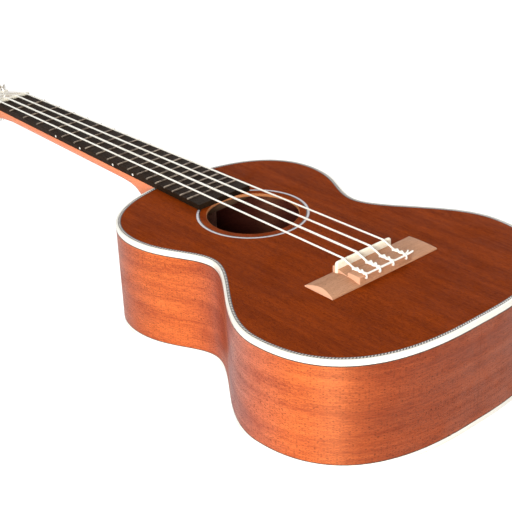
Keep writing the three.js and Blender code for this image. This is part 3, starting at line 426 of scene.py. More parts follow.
def carved_bar(start, end, width, height, up):
    """A bar from start to end: a round-backed section whose height swells as a sine to the power 0.4."""
    section = rounded([(-0.5, 0), (-0.5, 0.6), (-0.2, 1), (0.2, 1), (0.5, 0.6), (0.5, 0)],
                      [0.02, 0.15, 0.12, 0.12, 0.15, 0.02], 3)
    start, end = np.array(start, float), np.array(end, float)
    share = (1 - np.cos(np.linspace(0, np.pi, bar_steps))) / 2
    swell = bar_end_height + bar_swell * np.sin(np.pi * np.clip(share, 0.004, 0.996)) ** 0.4
    way = (end - start) / np.linalg.norm(end - start)
    middle = start + share[:, None] * (end - start)
    return loft(middle[:, None] + section[None, :, :1] * width * np.array([-way[1], way[0], 0])
                + (section[None, :, 1:] * height * swell[:, None, None]) * [0, 0, up])


def cross_bar(y, z, up):
    """A bar from lining to lining: the body's half width at y, read off the outline moved inward."""
    edge = outline(lining_inset + bar_end_gap)[:half_points]
    reach = np.interp(-y, -edge[:, 1], edge[:, 0])
    return carved_bar((-reach, y, z), (reach, y, z), brace_width, brace_height, up)


bar_places = [hole_centre[1] + side * (hole_radius + bar_to_hole) for side in (-1, 1)]
piece("top_bars", [cross_bar(y, top_under, -1) for y in bar_places], bare_spruce, "inner_wood")
piece("top_struts", [carved_bar((x, start, top_under), (x, end, top_under), strut_width, strut_height, -1)
                     for x in (-strut_spread, 0, strut_spread)
                     for start, end in ((strut_foot, patch_y - strut_gap),
                                        (patch_y + strut_gap, bar_places[0] - brace_width / 2))],
      strut_spruce, "inner_wood")

# Bridge patch: a thin plate of maple under the bridge that spreads the strings' pull.
# Its edges are eased and it lies flat under the soundboard between the struts.
patch_width, patch_length, patch_thickness, patch_head = 104.0, 34.0, 2.4, top_under - 0.1
bare_maple = wood("bare_maple", (0.72, 0.52, 0.33), (0.58, 0.38, 0.22), (0.42, 0.26, 0.14), ribbon=0.2,
                  pores=0.25, gloss=0.0, smear=0.2, turn=(0, 0, math.pi / 2))


def oblong(half, low, high):
    """The corners of a rectangle across the centre line."""
    return [(-half, low), (half, low), (half, high), (-half, high)]


def slab(corners, low, high, ease=0.4, radii=0.6):
    """A flat plate: a rounded outline in four levels, moved inward by the ease at its two faces."""
    plan = rounded(corners, radii)
    middle, half = (plan.max(axis=0) + plan.min(axis=0)) / 2, (plan.max(axis=0) - plan.min(axis=0)) / 2
    inner = middle + (plan - middle) * (1 - ease / half)
    return loft([level(inner, low), level(plan, low + ease), level(plan, high - ease), level(inner, high)])


piece("bridge_patch_plate",
      slab(oblong(patch_width / 2, patch_y - patch_length / 2, patch_y + patch_length / 2),
           patch_head - patch_thickness, patch_head, radii=3), bare_maple, "inner_wood", "bridge_patch")

# Ribs: two thin strips of lighter mahogany, wetted and bent over a hot pipe to the figure eight.
# They meet on the tail block, and their ends at the neck butt against the heel.
side_thickness, top_binding_height, back_binding_height, back_thickness = 2.2, 3.9, 4.2, 2.4
rib_height = body_depth - top_binding_height - back_binding_height
rib_foot, rib_head, rib_start = back_binding_height + glue, body_depth - top_binding_height - glue, 8.0
hands = {"bass": -1, "treble": 1}


def rib_tones_and_painted_light(add, place):
    """Painted shade darkens the ribs at the shoulder, the waist and their inside faces, a painted pinkish
    sheen lies past the waist, and the ribs grow darker towards the tail.
    """
    across, along = add("SeparateXYZ", {0: place}, None).outputs[:2]
    # Painted shade at the waist; the shoulder's painted shade is added below.
    waist = times(add, spread(add, along, 0.15, 0.19), spread(add, along, 0.265, 0.235))
    # Painted pinkish sheen past the waist.
    painted_sheen_past_waist = times(add, spread(add, along, 0.225, 0.25), spread(add, along, 0.325, 0.26))
    # Painted shade on the ribs' inside faces.
    inner = spread(add, across, (rib_height + 0.5) * MM, (rib_height + 1.5) * MM)
    # Each share multiplies the rib colour: painted shade at shoulder and waist, painted sheen past the waist,
    # darker towards the tail, painted shade inside.
    return [(share, (*tone, 1), "MULTIPLY") for share, tone in (
        (maths(add, "ADD", waist, spread(add, along, 0.14, 0.08)), (0.64, 0.62, 1.20)),
        (painted_sheen_past_waist, (0.66, 0.84, 2.3)), (spread(add, along, 0.315, 0.38), (0.46, 0.37, 0.48)),
        (inner, (0.42, 0.46, 0.70)))]


def along_rings(rings):
    """UV in metres: across is the way round each ring, along is the way from ring to ring."""
    across = np.linalg.norm(np.diff(rings, axis=1, prepend=rings[:, :1]), axis=2).cumsum(axis=1)
    steps = np.linalg.norm(np.diff(rings[:, 0], axis=0, prepend=rings[:1, 0]), axis=1).cumsum()
    return np.stack((across, np.broadcast_to(steps[:, None], across.shape)), axis=2).reshape(-1, 2) * MM


def half_hoop(section, hand, start_x, end_x):
    """Carries a closed section of (inset, height) points down one side, from start_x to end_x off the
    centre line; the first and last places are found on the straight line to their neighbour."""
    rings, starts = [], []
    for inset, height in section:
        edge = outline(inset)[:half_points].copy()
        first = int(np.argmax(edge[:, 0] > start_x))
        edge[first - 1] += (edge[first] - edge[first - 1]) * (start_x - edge[first - 1, 0]) / (
            edge[first, 0] - edge[first - 1, 0])
        edge[-1] += (edge[-2] - edge[-1]) * end_x / edge[-2, 0]
        rings.append(level(edge * [hand, 1], height))
        starts.append(first)
    return np.stack(rings, axis=1)[min(starts) - 1:]


# The ribs' colour carries painted shade and a painted sheen from the tones above.
rib_mahogany = wood("rib_mahogany", (0.820, 0.185, 0.042), (0.370, 0.056, 0.016), (0.150, 0.022, 0.008),
                    ribbon=0.45, from_uv=True, gloss=0.0, shine=0.95, glow=0.85, other=rib_tones_and_painted_light)
rib_section = [(0, rib_foot), (0, rib_head), (side_thickness, rib_head), (side_thickness, rib_foot)]
for side, hand in hands.items():
    rings = half_hoop(rib_section, hand, rib_start, 0.05)
    piece("rib_" + side, loft(rings), rib_mahogany, "side_wood", "side_" + side, uv=along_rings(rings))

# Linings: kerfed mahogany strips glued round the inside corners so the plates have something to sit on.
# Saw cuts every few millimetres let them follow the bend.
lining_pitch, lining_height, lining_flat, lining_start, seat = 5.0, 12.0, 4.8, 31.5, 0.1
add, where, shade = finish("kerfed_lining", "UV")
grown = timber(add, where, (0.24, 0.13, 0.08), (0.16, 0.08, 0.05), (0.08, 0.04, 0.025), 0.3, 0.6)
# The saw cuts are a dent in the bump and painted shade in the colour.
saw_cut_and_shade = maths(add, "PINGPONG", add("SeparateXYZ", {0: where}, 1), lining_pitch * MM / 2)
saw_cut_and_shade = spread(add, saw_cut_and_shade, 0.0002, 0.0006, 1.0, 0.0)
kerfed_lining = shade({"Base Color": blended(add, saw_cut_and_shade, grown["Color"], (0.05, 0.022, 0.012, 1)),
                       "Roughness": grown["Roughness"], "Specular IOR Level": 0.2,
                       "Normal": relief(add, saw_cut_and_shade, 0.6, 0.0015, invert=True)})
for side, hand in hands.items():
    strips = [half_hoop([(side_thickness + glue, z), (lining_inset, z), (lining_inset, z + up * lining_flat),
                         (side_thickness + glue, z + up * lining_height)], hand, lining_start, lining_start)
              for z, up in ((top_under - seat, -1), (back_thickness + seat, 1))]
    piece("linings_" + side, [loft(strip) for strip in strips], kerfed_lining, "inner_wood",
          uv=np.vstack([along_rings(strip) for strip in strips]))

# End blocks: squared mahogany that takes the heel's dovetail and joins the ribs' ends.
# Their end faces follow the ribs.
neck_block, tail_block = (21.0, 20.0), (31.0, 14.0)
block_mahogany = wood("block_mahogany", (0.84, 0.45, 0.34), (0.66, 0.33, 0.24), (0.38, 0.18, 0.13),
                      ribbon=0.4, gloss=0.0, smear=0.25, turn=(math.pi / 2, 0, 0))
rib_inside = outline(side_thickness + seat)
for name, (half, depth), end in (("neck_block", neck_block, 1), ("tail_block", tail_block, -1)):
    near = rib_inside[(rib_inside[:, 1] * end > 0) & (np.abs(rib_inside[:, 0]) < half + 12)]
    near = near[np.argsort(near[:, 0])]
    x = np.linspace(-half, half, 33)
    flat_y = end * (half_length - depth)
    plan = np.vstack((np.column_stack((x, np.interp(x, *near.T))), [(half, flat_y), (-half, flat_y)]))
    piece(name + "_wood", loft([level(plan, z) for z in (back_thickness + seat, top_under - seat)]),
          block_mahogany, "inner_wood", name)

# Back: a flat plate of the ribs' lighter mahogany with three ladder bars and a strip down the joint.
# It is let into its white binding flush.
ladder_places, strip_half, strip_height, strip_gap = (0.19, 0.46, 0.76), 7, 2.5, 6


def painted_inside_shade(add, place):
    """Painted shade on the face inside the body: its colour is darkened there."""
    height = add("SeparateXYZ", {0: place}, 2)
    inner = spread(add, height, (back_thickness - 0.3) * MM, (back_thickness - 0.1) * MM)
    return [(inner, (0.40, 0.44, 0.66, 1), "MULTIPLY")]


# The back's inside face carries painted shade.
back_mahogany = wood("back_mahogany", (0.740, 0.195, 0.068), (0.500, 0.108, 0.037), (0.180, 0.036, 0.015),
                     ribbon=0.55, shine=0.3, shift=(0.37, 0.11, 0.05), other=painted_inside_shade)
piece("back_plate", loft([level(outline(plate_inset + ease), z) for ease, z in
                          ((0.25, 0.0), (0.0, 0.25), (0.0, back_thickness))]),
      back_mahogany, "side_wood", "back", smooth=30)
piece("back_bars", [cross_bar(body_length * (0.5 - share), back_thickness, 1) for share in ladder_places],
      bare_spruce, "inner_wood")
piece("back_strip", slab(oblong(strip_half, tail_block[1] - half_length + strip_gap,
                                half_length - neck_block[1] - strip_gap),
                         back_thickness, back_thickness + strip_height, ease=0.8), bare_spruce, "inner_wood")

# Edge bindings: white celluloid bent hot round both edges, glued into a rabbet and scraped flush.
# The outer corner is eased by hand, and faint lines run along the sheet it was cut from.


def celluloid(name, pale, dark, source="UV", rough=0.27):
    """White plastic with long faint streaks and handling marks."""
    add, where, shade = finish(name, source)
    streaks = noise(add, add("Mapping", {"Vector": where, "Scale": (1.0, 0.02, 1.0)}), 900.0)
    patches = noise(add, where, 45.0, 3.0)
    tone = maths(add, "ADD", spread(add, streaks, 0.35, 0.75, 0.0, 0.5),
                 spread(add, patches, 0.4, 0.8, 0.0, 0.5))
    return shade({"Base Color": blended(add, tone, (*pale, 1), (*dark, 1)),
                  "Roughness": handled(add, where, spread(add, patches, 0.3, 0.7, rough, rough + 0.08), 0.15),
                  "Normal": relief(add, streaks, 0.08, 0.0001), "Coat Weight": 0.35, "Coat Roughness": 0.15})


def hoop(section):
    """Carries a closed section of (inset, height) points round the whole outline."""
    return np.stack([level(outline(inset), height) for inset, height in section], axis=1)


white_celluloid = celluloid("white_celluloid", (0.93, 0.90, 0.82), (0.84, 0.79, 0.68))
for name, low, high, top_ease, foot_ease in (
        ("top_binding", body_depth - top_binding_height, body_depth, 0.75, 0.12),
        ("back_binding", 0.0, back_binding_height, 0.12, 0.85)):
    rings = hoop(rounded([(0, low), (0, high), (binding_width, high), (binding_width, low)],
                         [foot_ease, top_ease, 0.08, 0.08], 5))
    piece(name + "_strip", loft(rings, True), white_celluloid, "binding", name, uv=along_rings(rings))

# Black fibre lines: one under the top binding and one above the back binding, half a millimetre of
# dyed veneer that sharpens the joint with the ribs.
fibre_height, fibre_proud, fibre_depth, black = 0.55, 0.03, 0.6, (0.018, 0.012, 0.010, 1)
add, where, shade = finish("black_fibre")
flecks = noise(add, where, 1400.0)
black_fibre = shade({"Base Color": blended(add, flecks, black, (0.045, 0.028, 0.022, 1)),
                     "Roughness": spread(add, flecks, 0.3, 0.7, 0.42, 0.62)})
for side, hand in hands.items():
    for edge, low in (("top", rib_head - fibre_height), ("back", rib_foot)):
        section = [(-fibre_proud, low), (-fibre_proud, low + fibre_height), (fibre_depth, low + fibre_height),
                   (fibre_depth, low)]
        piece("fibre_line_%s_%s" % (edge, side), loft(half_hoop(section, hand, rib_start, 0.0)), black_fibre,
              "binding")

# Purfling: a rope of slanted black and white slips between two black lines, let into the top just
# inside the binding. The slant runs the same way all round.
rope_pitch, slip_slant, groove_gap, proud = 2.1, 0.62, 0.02, 0.01
add, where, shade = finish("rope_purfling", "UV")
across, along = add("SeparateXYZ", {0: where}, None).outputs[:2]
slip = maths(add, "PINGPONG", maths(add, "ADD", along, times(add, across, slip_slant)), 0.5)
slip = maths(add, "MULTIPLY", spread(add, slip, 0.21, 0.27), spread(add, across, 0.10, 0.15),
             spread(add, across, 0.78, 0.73))
flecks = noise(add, add("TexCoord", output="Object"), 1200.0)
white_tone = blended(add, flecks, (0.54, 0.48, 0.43, 1), (0.70, 0.64, 0.58, 1))
rope = shade({"Base Color": blended(add, slip, (0.022, 0.014, 0.012, 1), white_tone),
              "Roughness": spread(add, flecks, 0.3, 0.7, 0.3, 0.4), "Coat Roughness": 0.22,
              "Coat Weight": 0.2, "Normal": relief(add, slip, 0.15, 0.00005)})
foot, crest, far = body_depth - purfling_depth + groove_gap, body_depth + proud, plate_inset + purfling_width
rings = hoop([(plate_inset, foot), (plate_inset, crest), (far, crest), (far, foot)])
steps = np.linalg.norm(np.diff(rings[:, 0, :2], axis=0, append=rings[:1, 0, :2]), axis=1)
slip_place = (steps.cumsum() - steps) / steps.sum() * round(steps.sum() / rope_pitch)
strip_across = np.array([0.0, 0.0, 1.0, 1.0])


def strip_uv(along):
    """UV of a four-sided strip: its inner and outer side, and its place along."""
    return np.stack(np.broadcast_arrays(strip_across, along[:, None]), axis=2).reshape(-1, 2)


piece("purfling_strip", loft(rings, True), rope, "purfling", "top_purfling", uv=strip_uv(slip_place),
      smooth=25)

# Rosette: one pale ring with a dark line at each edge, let into a groove round the sound hole.
# Its head end passes under the fretboard.
ring_count, ring_proud = 160, 0.012
add, where, shade = finish("rosette_ring", "UV")
across = add("SeparateXYZ", {0: where})
mottle = noise(add, add("TexCoord", output="Object"), 420.0, 3.0)
inside = times(add, spread(add, across, 0.28, 0.34), spread(add, across, 0.95, 0.90))
ring_tone = blended(add, mottle, (0.50, 0.45, 0.48, 1), (0.70, 0.65, 0.68, 1))
pale_ring = shade({"Base Color": blended(add, inside, black, ring_tone), "Coat Weight": 0.25,
                   "Roughness": spread(add, mottle, 0.3, 0.7, 0.24, 0.36), "Coat Roughness": 0.2})


def full_turn(count):
    """Even steps of a full turn."""
    return np.linspace(0, 2 * np.pi, count, endpoint=False)


def surface(x, y, z):
    """Three coordinates spread over one grid."""
    return np.stack(np.broadcast_arrays(x, y, z), axis=-1)


def turned_rings(profile, count, centre=(0, 0)):
    """A (radius, height) profile turned about the Z axis through centre."""
    angle, (radius, height) = full_turn(count)[:, None], np.array(profile, float).T
    return surface(centre[0] + radius * np.cos(angle), centre[1] + radius * np.sin(angle), height)


foot, crest = groove_floor + groove_gap, body_depth + ring_proud
rings = turned_rings([(rosette_inner, foot), (rosette_inner, crest), (rosette_outer, crest),
                      (rosette_outer, foot)], ring_count, hole_centre)
piece("rosette_ring", loft(rings, True), pale_ring, "rosette", "rosette",
      uv=strip_uv(np.arange(ring_count) / ring_count), smooth=25)

# Neck: one length of pale mahogany, carved round behind, deepening into a heel that is dovetailed into
# the body and squaring off into the head, which leans back fourteen degrees.
neck_joint, nut_width, board_end_width, board_length = 234.3, 35.2, 49.0, 290.0
neck_depth, neck_depth_at_heel = 11.8, 13.0
heel_length, heel_foot_width, heel_narrowing, heel_cap_thickness, heel_inset = 44.0, 21.0, 42, 2.0, 0.4
root_inset, root_share, root_fade, face_fade, bell_steps = 0.1, 0.06, 7, 13, 10
heel_places = [0, 0.24, 0.42, 0.55, 0.66, 0.73, 0.79, 1.12]
heel_depths = [0, 0.02, 0.08, 0.2, 0.42, 0.72, 1, 1]
head_tilt, head_length, head_width, head_thickness, nut_length = math.radians(14), 122.0, 66.0, 12.0, 5.2
head_start = np.array([0, nut_y + nut_length, body_depth])
head_sides = [(0, 0.54), (0.1, 0.6), (0.21, 0.82), (0.33, 0.93), (0.5, 0.95), (0.7, 0.98), (0.87, 1.03),
              (0.94, 1)]
head_crown = [(0.975, 0.86), (0.985, 0.62), (0.972, 0.42), (0.985, 0.2), (1, 0)]
head_root = [(0.13, 1.0), (0.09, 0.97), (0.06, 0.92), (0.03, 0.8), (0.0, 0.6)]
head_edge = [(1.2, 0), (0.5, 0.25), (0.15, 0.7), (0.0, 1.4), (0.0, head_thickness)]
neck_mahogany = wood("neck_mahogany", (0.96, 0.31, 0.130), (0.84, 0.22, 0.088), (0.46, 0.11, 0.042),
                     ribbon=0.35, pores=0.4, shine=0.3, shift=(0.03, 0.4, 0.02))


def smooth_through(points, count):
    """A curve through points: between b and c it is b + t (c-a)/2 + t^2 (a - 5b/2 + 2c - d/2)
    + t^3 (3b - a - 3c + d) / 2, with the ends repeated."""
    points = np.array(points, float)
    padded = np.vstack((points[:1], points, points[-1:]))
    a, b, c, d = (padded[i:len(padded) - 3 + i][:, None] for i in range(4))
    t = np.linspace(0, 1, count, endpoint=False)[None, :, None]
    curve = (b + t * (c - a) / 2 + t ** 2 * (a - 2.5 * b + 2 * c - d / 2)
             + t ** 3 * (3 * b - a - 3 * c + d) / 2)
    return np.vstack((curve.reshape(-1, points.shape[1]), points[-1:]))


def smooth_step(value, low, high):
    """3t^2 - 2t^3 of the share of the way from low to high."""
    t = np.clip((value - low) / (high - low), 0, 1)
    return t * t * (3 - 2 * t)


def on_head(places):
    """From the head's own axes (across, away from the nut, out of its face) to the frame's."""
    x, s, n = np.moveaxis(np.asarray(places, float), -1, 0)
    return surface(head_start[0] + x, head_start[1] + s * math.cos(head_tilt) + n * math.sin(head_tilt),
                   head_start[2] - s * math.sin(head_tilt) + n * math.cos(head_tilt))


def head_outline(inset=0.0):
    """The head's outline in its own axes: the two sides and a crown of soft waves, moved inward."""
    right = np.vstack((smooth_through(head_sides, 8)[:-1], smooth_through([head_sides[-1]] + head_crown, 8)))
    right = np.column_stack((right[:, 1] * head_width / 2, right[:, 0] * head_length))
    way = np.gradient(right, axis=0)
    right += np.column_stack((-way[:, 1], way[:, 0])) / np.linalg.norm(way, axis=1)[:, None] * inset
    right[-1, 0] = 0
    return np.vstack((right, (right * [-1, 1])[-2::-1]))


def neck_section(width, depth, heel, square):
    """Half an ellipse below a flat top. Squareness lowers its powers; the heel narrows as it goes down."""
    angle = np.linspace(0, np.pi, 41)
    down = depth * np.sin(angle) ** (0.8 + (0.3 - 0.8) * square)
    down[[0, -1]] = 0
    half = (width + (heel_foot_width - width) * smooth_step(down, 0, heel_narrowing) * heel) / 2
    cosine = np.cos(angle)
    return np.sign(cosine) * half * np.abs(cosine) ** (1 - 0.7 * max(heel, square)), -down


def board_width(place):
    """The fretboard's width at a distance from the nut."""
    return nut_width + (board_end_width - nut_width) * place / board_length


neck_rings = []
for share, square in head_root:
    half = np.interp(share, *zip(*head_sides)) * head_width / 2
    x, down = neck_section(2 * half - root_inset * share / root_share, head_thickness - root_inset, 0, square)
    neck_rings.append(on_head(surface(x, share * head_length, down - root_inset)))
heel_start = neck_joint - heel_length
from_nut = np.concatenate((np.linspace(0.02, 0.1, 6) * heel_start, np.linspace(0.13, 0.98, 14) * heel_start,
                           heel_start + heel_length * np.linspace(0, 1.0, 34)))
# The heel's depths are smoothed by a bell curve, so that its back has no corner.
bell = np.exp(-0.5 * np.linspace(-2, 2, 2 * bell_steps + 1) ** 2)
fine_place = np.linspace(-0.5, 1.6, 421)
fine_depth = np.pad(np.interp(fine_place, heel_places, heel_depths), bell_steps, mode="edge")
fine_depth = np.convolve(fine_depth, bell / bell.sum(), "valid")
heel_depth = body_depth - heel_cap_thickness - glue
for place in from_nut:
    deep = np.clip(np.interp((place - heel_start) / heel_length, fine_place, fine_depth), 0, 1)
    share = min(place / heel_start, 1)
    depth = (neck_depth + (neck_depth_at_heel - neck_depth) * share) * (1 - deep) + heel_depth * deep
    x, down = neck_section(board_width(place), depth, deep, float(np.clip(0.5 - share / 0.2, 0, 1)))
    neck_rings.append(surface(x, nut_y - place, body_depth + down))
top_edge = outline(heel_inset)[:curve_points]
neck_rings[-1][:, 1] = np.interp(np.abs(neck_rings[-1][:, 0]), *top_edge.T)
from_root = head_outline()[:, 1]
narrowed = 1 - 0.02 * (1 - smooth_step(from_root, 0, root_fade))
thinned = 0.5 + 0.5 * smooth_step(from_root, 0, face_fade)
head_rings = [on_head(surface(plan[:, 0] * narrowed, plan[:, 1], (up - head_thickness) * thinned))
              for plan, up in ((head_outline(inset), up) for inset, up in head_edge)]
piece("neck_and_head", [loft(neck_rings), loft(head_rings)], neck_mahogany, "neck_wood", "neck", smooth=38)

# Heel cap: a small plate of the white binding plastic glued on the foot of the heel.
# It is rounded towards the head and cut off straight at the back binding.
cap_half, cap_overlap, cap_middle = 10.4, 0.2, np.array([0, half_length])
cap_levels = [(0.93, 0.0), (0.99, 0.35), (1.0, 0.9), (1.0, heel_cap_thickness)]
cap_plan = rounded(oblong(cap_half, half_length - cap_overlap, nut_y - (neck_joint - heel_length * 0.21)),
                   [0.2, 0.2, 4.6, 4.6], 6)
cap_celluloid = celluloid("cap_celluloid", (0.90, 0.87, 0.81), (0.80, 0.75, 0.66), "Object")
cap_rings = [level(cap_middle + (cap_plan - cap_middle) * size, z) for size, z in cap_levels]
piece("heel_cap_plate", loft(cap_rings), cap_celluloid, "binding", "heel_cap")

# Head veneer: a sheet glued over the face of the head and finished with clear gloss. Its pale cream colour is
# partly painted highlight, standing in for glare on the face.
# Its edge is scraped flush with the neck wood and softly broken.
veneer_thickness = 1.8
veneer_levels = [(0.1, 0.05), (0.1, veneer_thickness - 0.4), (0.3, veneer_thickness - 0.08),
                 (0.7, veneer_thickness + 0.05)]
veneer_pale_with_painted_glare = wood("veneer_pale_with_painted_glare", (0.80, 0.70, 0.57), (0.68, 0.54, 0.40), (0.50, 0.36, 0.24), ribbon=0.4,
                   pores=0.25, gloss=0.8, bump=0.08)
piece("head_veneer_sheet", loft([on_head(level(head_outline(inset), n)) for inset, n in veneer_levels]),
      veneer_pale_with_painted_glare, "head_face", "head_veneer", smooth=40)

# Fretboard: near-black oiled hardwood, tapering, glued flat over neck and soundboard.
# Its long edges are broken with a scraper and the end over the sound hole is cut square.
scale_length, fret_count, board_foot, board_thickness, board_past_fret = 430.0, 18, body_depth + 0.1, 4.2, 14
board_top = board_foot + board_thickness
fret_places = scale_length - scale_length / 2 ** (np.arange(1, fret_count + 1) / 12)
board_end = nut_y - fret_places[-1] - board_past_fret
black_board = wood("black_fretboard", (0.034, 0.018, 0.009), (0.013, 0.007, 0.004), (0.004, 0.003, 0.003),
                   ribbon=0.4, pores=0.9, gloss=0.0, bump=0.5, smear=0.1, shine=0.035)
board_corners = [(-board_end_width / 2, board_end), (board_end_width / 2, board_end),
                 (nut_width / 2, nut_y - 0.1), (-nut_width / 2, nut_y - 0.1)]
piece("fretboard_plate", slab(board_corners, board_foot, board_top, ease=0.3, radii=0.5), black_board,
      "board_wood", "fretboard", smooth=30)

# Side dots: short white rods set in the bass edge of the fretboard at frets 5, 7, 10 and 12.
# They are cut off and polished a tenth of a millimetre proud.
dot_frets, dot_radius = (5, 7, 10, 12), 1.0
dot_levels = [(0.8, dot_radius), (-0.05, dot_radius), (-0.1, dot_radius * 0.8), (-0.12, dot_radius * 0.4)]
angle = full_turn(24)
dots = []
for fret in dot_frets:
    place = (fret_places[fret - 1] + fret_places[fret - 2]) / 2
    dots.append(loft([surface(-board_width(place) / 2 + depth, nut_y - place + radius * np.cos(angle),
                              board_foot + board_thickness * 0.5 + radius * np.sin(angle))
                      for depth, radius in dot_levels]))
piece("side_dots", dots, cap_celluloid, "binding")

# Frets: drawn nickel-silver wire with a round crown, pressed into sawn slots, the ends filed back at an
# angle and the crowns left with fine lengthwise polish lines.
crown_width, crown_height, crown_sunk = 1.7, 0.9, 0.2
fret_ends = [(0.04, 0.7), (0.2, 0.25), (0.45, 0.0)]
add, where, shade = finish("nickel_silver_wire")
strokes = noise(add, add("Mapping", {"Vector": where, "Scale": (0.05, 1.0, 1.0)}), 2600.0)
tarnish = spread(add, noise(add, where, 160.0, 3.0), 0.35, 0.7)
fret_metal = shade({"Base Color": blended(add, tarnish, (0.25, 0.20, 0.155, 1), (0.13, 0.10, 0.08, 1)),
                    "Metallic": 1.0, "Roughness": spread(add, strokes, 0.2, 0.8, 0.30, 0.46),
                    "Normal": relief(add, strokes, 0.25, 0.00005)})
angle = np.linspace(0, np.pi, 11)
for number, place in enumerate(fret_places, 1):
    half, y, foot = board_width(place) / 2, nut_y - place, board_top - crown_sunk
    ends = [(-half + back, lower) for back, lower in fret_ends] + [
        (half - back, lower) for back, lower in fret_ends[::-1]]
    rings = [np.vstack((surface(x, y + crown_width / 2 * np.cos(angle),
                                board_top + crown_height * (1 - lower) * np.sin(angle) ** 0.85),
                        [[x, y - crown_width / 2, foot], [x, y + crown_width / 2, foot]]))
             for x, lower in ends]
    piece("fret_wire_%02d" % number, loft(rings), fret_metal, "fret_wire", "fret_%02d" % number, smooth=50)

# Bridge: a pinkish tan hardwood block, thin lens-shaped wings each side of a raised middle. The middle
# has a wall before the saddle, a ramp behind it, and a tie block with a hole for each string.
bridge_width, bridge_block_width, wing_bevel = 98.0, 49.0, 2.4
bridge_foot, bridge_edge, bridge_crown = body_depth + 0.1, 1.1, 3.2
saddle_from_nut, string_spacing = 433.1, 12.46
wall_front, wall_height, saddle_place = 0.6, 6.2, saddle_from_nut - bridge_from_nut
ramp_front, ramp_top, ramp_foot = 6.2, 5.1, 3.2
tie_front, tie_rear, tie_height, tie_hole_height, tie_hole_radius = 14.7, 25.1, 6.3, 4.4, 0.85
string_xs = np.array([-1.5, -0.5, 0.5, 1.5]) * string_spacing


def painted_end_highlight(add, place):
    """Painted highlight: the faces that point along the bridge's length, its ends and bevels, are painted
    brighter and more orange.
    """
    facing = add("SeparateXYZ", {0: add("NewGeometry", output="Normal")})
    highlight_facing = add("Math", {0: facing}, operation="ABSOLUTE")
    return [(spread(add, highlight_facing, 0.12, 0.42, 0.0, 0.75), (0.86, 0.48, 0.31, 1), "MIX")]


# The bridge's ends and bevels carry a painted highlight.
bridge_wood = wood("bridge_wood", (0.60, 0.305, 0.172), (0.46, 0.220, 0.115), (0.30, 0.14, 0.07), ribbon=0.45,
                   pores=0.6, gloss=0.0, bump=0.5, smear=0.15, turn=(0, 0, math.pi / 2), other=painted_end_highlight)


def drilled(shape, *pins):
    """Cuts level round pins (centre, way, radius, length) out of a closed shape."""
    angle, drills = full_turn(24)[:, None], []
    for centre, way, radius, length in pins:
        side = np.cross(way, (0.0, 0.0, 1.0))
        circle = radius * (np.cos(angle) * side + np.sin(angle) * np.cross(way, side)) + centre
        reach = np.array(way, float) * length / 2
        drills.append(loft([circle - reach, circle + reach]))
    blank, drill = (placed("blank", shell("blank", *solid)) for solid in (shape, stacked(*drills)))
    cut = blank.modifiers.new("holes", "BOOLEAN")
    cut.operation, cut.solver, cut.object = "DIFFERENCE", "EXACT", drill
    made = bpy.data.meshes.new_from_object(blank.evaluated_get(bpy.context.evaluated_depsgraph_get()))
    places = np.empty(len(made.vertices) * 3)
    made.vertices.foreach_get("co", places)
    for thing in (blank, drill):
        bpy.data.objects.remove(thing)
    return places.reshape(-1, 3), [list(face.vertices) for face in made.polygons]


def on_bridge(x, section):
    """A (back, up) section of the bridge at x."""
    return surface(x, bridge_front - section[:, 0], bridge_foot + section[:, 1])


def along_x(section, half, ease=0.35):
    """A section carried across the bridge; its ends draw in by the ease."""
    middle = (section.max(axis=0) + section.min(axis=0)) / 2
    ends = [(half, ease), (half - ease * 0.3, ease * 0.3), (half - ease, 0)]
    return loft([on_bridge(x, middle + (section - middle) * (1 - draw / (section.max(axis=0) - middle)))
                 for x, draw in [(-x, draw) for x, draw in ends] + ends[::-1]])


share = np.linspace(0, 1, 33)
arch = np.column_stack((bridge_length * share,
                        bridge_edge + (bridge_crown - bridge_edge) * np.sin(np.pi * share)))
wings = np.vstack(([[0.0, 0.0], [0.0, bridge_edge * 0.6]], arch[1:-1],
                   [[bridge_length, bridge_edge * 0.6], [bridge_length, 0.0]]))
bevel = 0.02 + (wings[:, 1] - bridge_edge).clip(0) / (bridge_crown - bridge_edge) * wing_bevel
low_wings = np.column_stack((wings[:, 0], wings[:, 1].clip(0, bridge_edge)))
wing_rings = [on_bridge(side * (bridge_width / 2 - bevel * drawn), wings if drawn else low_wings)
              for side, drawn in ((-1, 0), (-1, 1), (1, 1), (1, 0))]
raised = rounded([(wall_front, 0), (wall_front, wall_height), (saddle_place, wall_height),
                  (saddle_place, ramp_top), (ramp_front, ramp_top), (tie_front, ramp_foot),
                  (tie_front, tie_height), (tie_rear, tie_height), (tie_rear, 0)],
                 [0.05, 0.6, 0.3, 0.3, 0.8, 0.7, 0.6, 0.7, 0.05])
tie_holes = [((x, bridge_front - (tie_front + tie_rear) / 2, body_depth + tie_hole_height), (0, 1, 0),
              tie_hole_radius, 16.0) for x in string_xs]
piece("bridge_block", [loft(wing_rings), drilled(along_x(raised, bridge_block_width / 2), *tie_holes)],
      bridge_wood, "bridge_wood", "bridge", smooth=32)

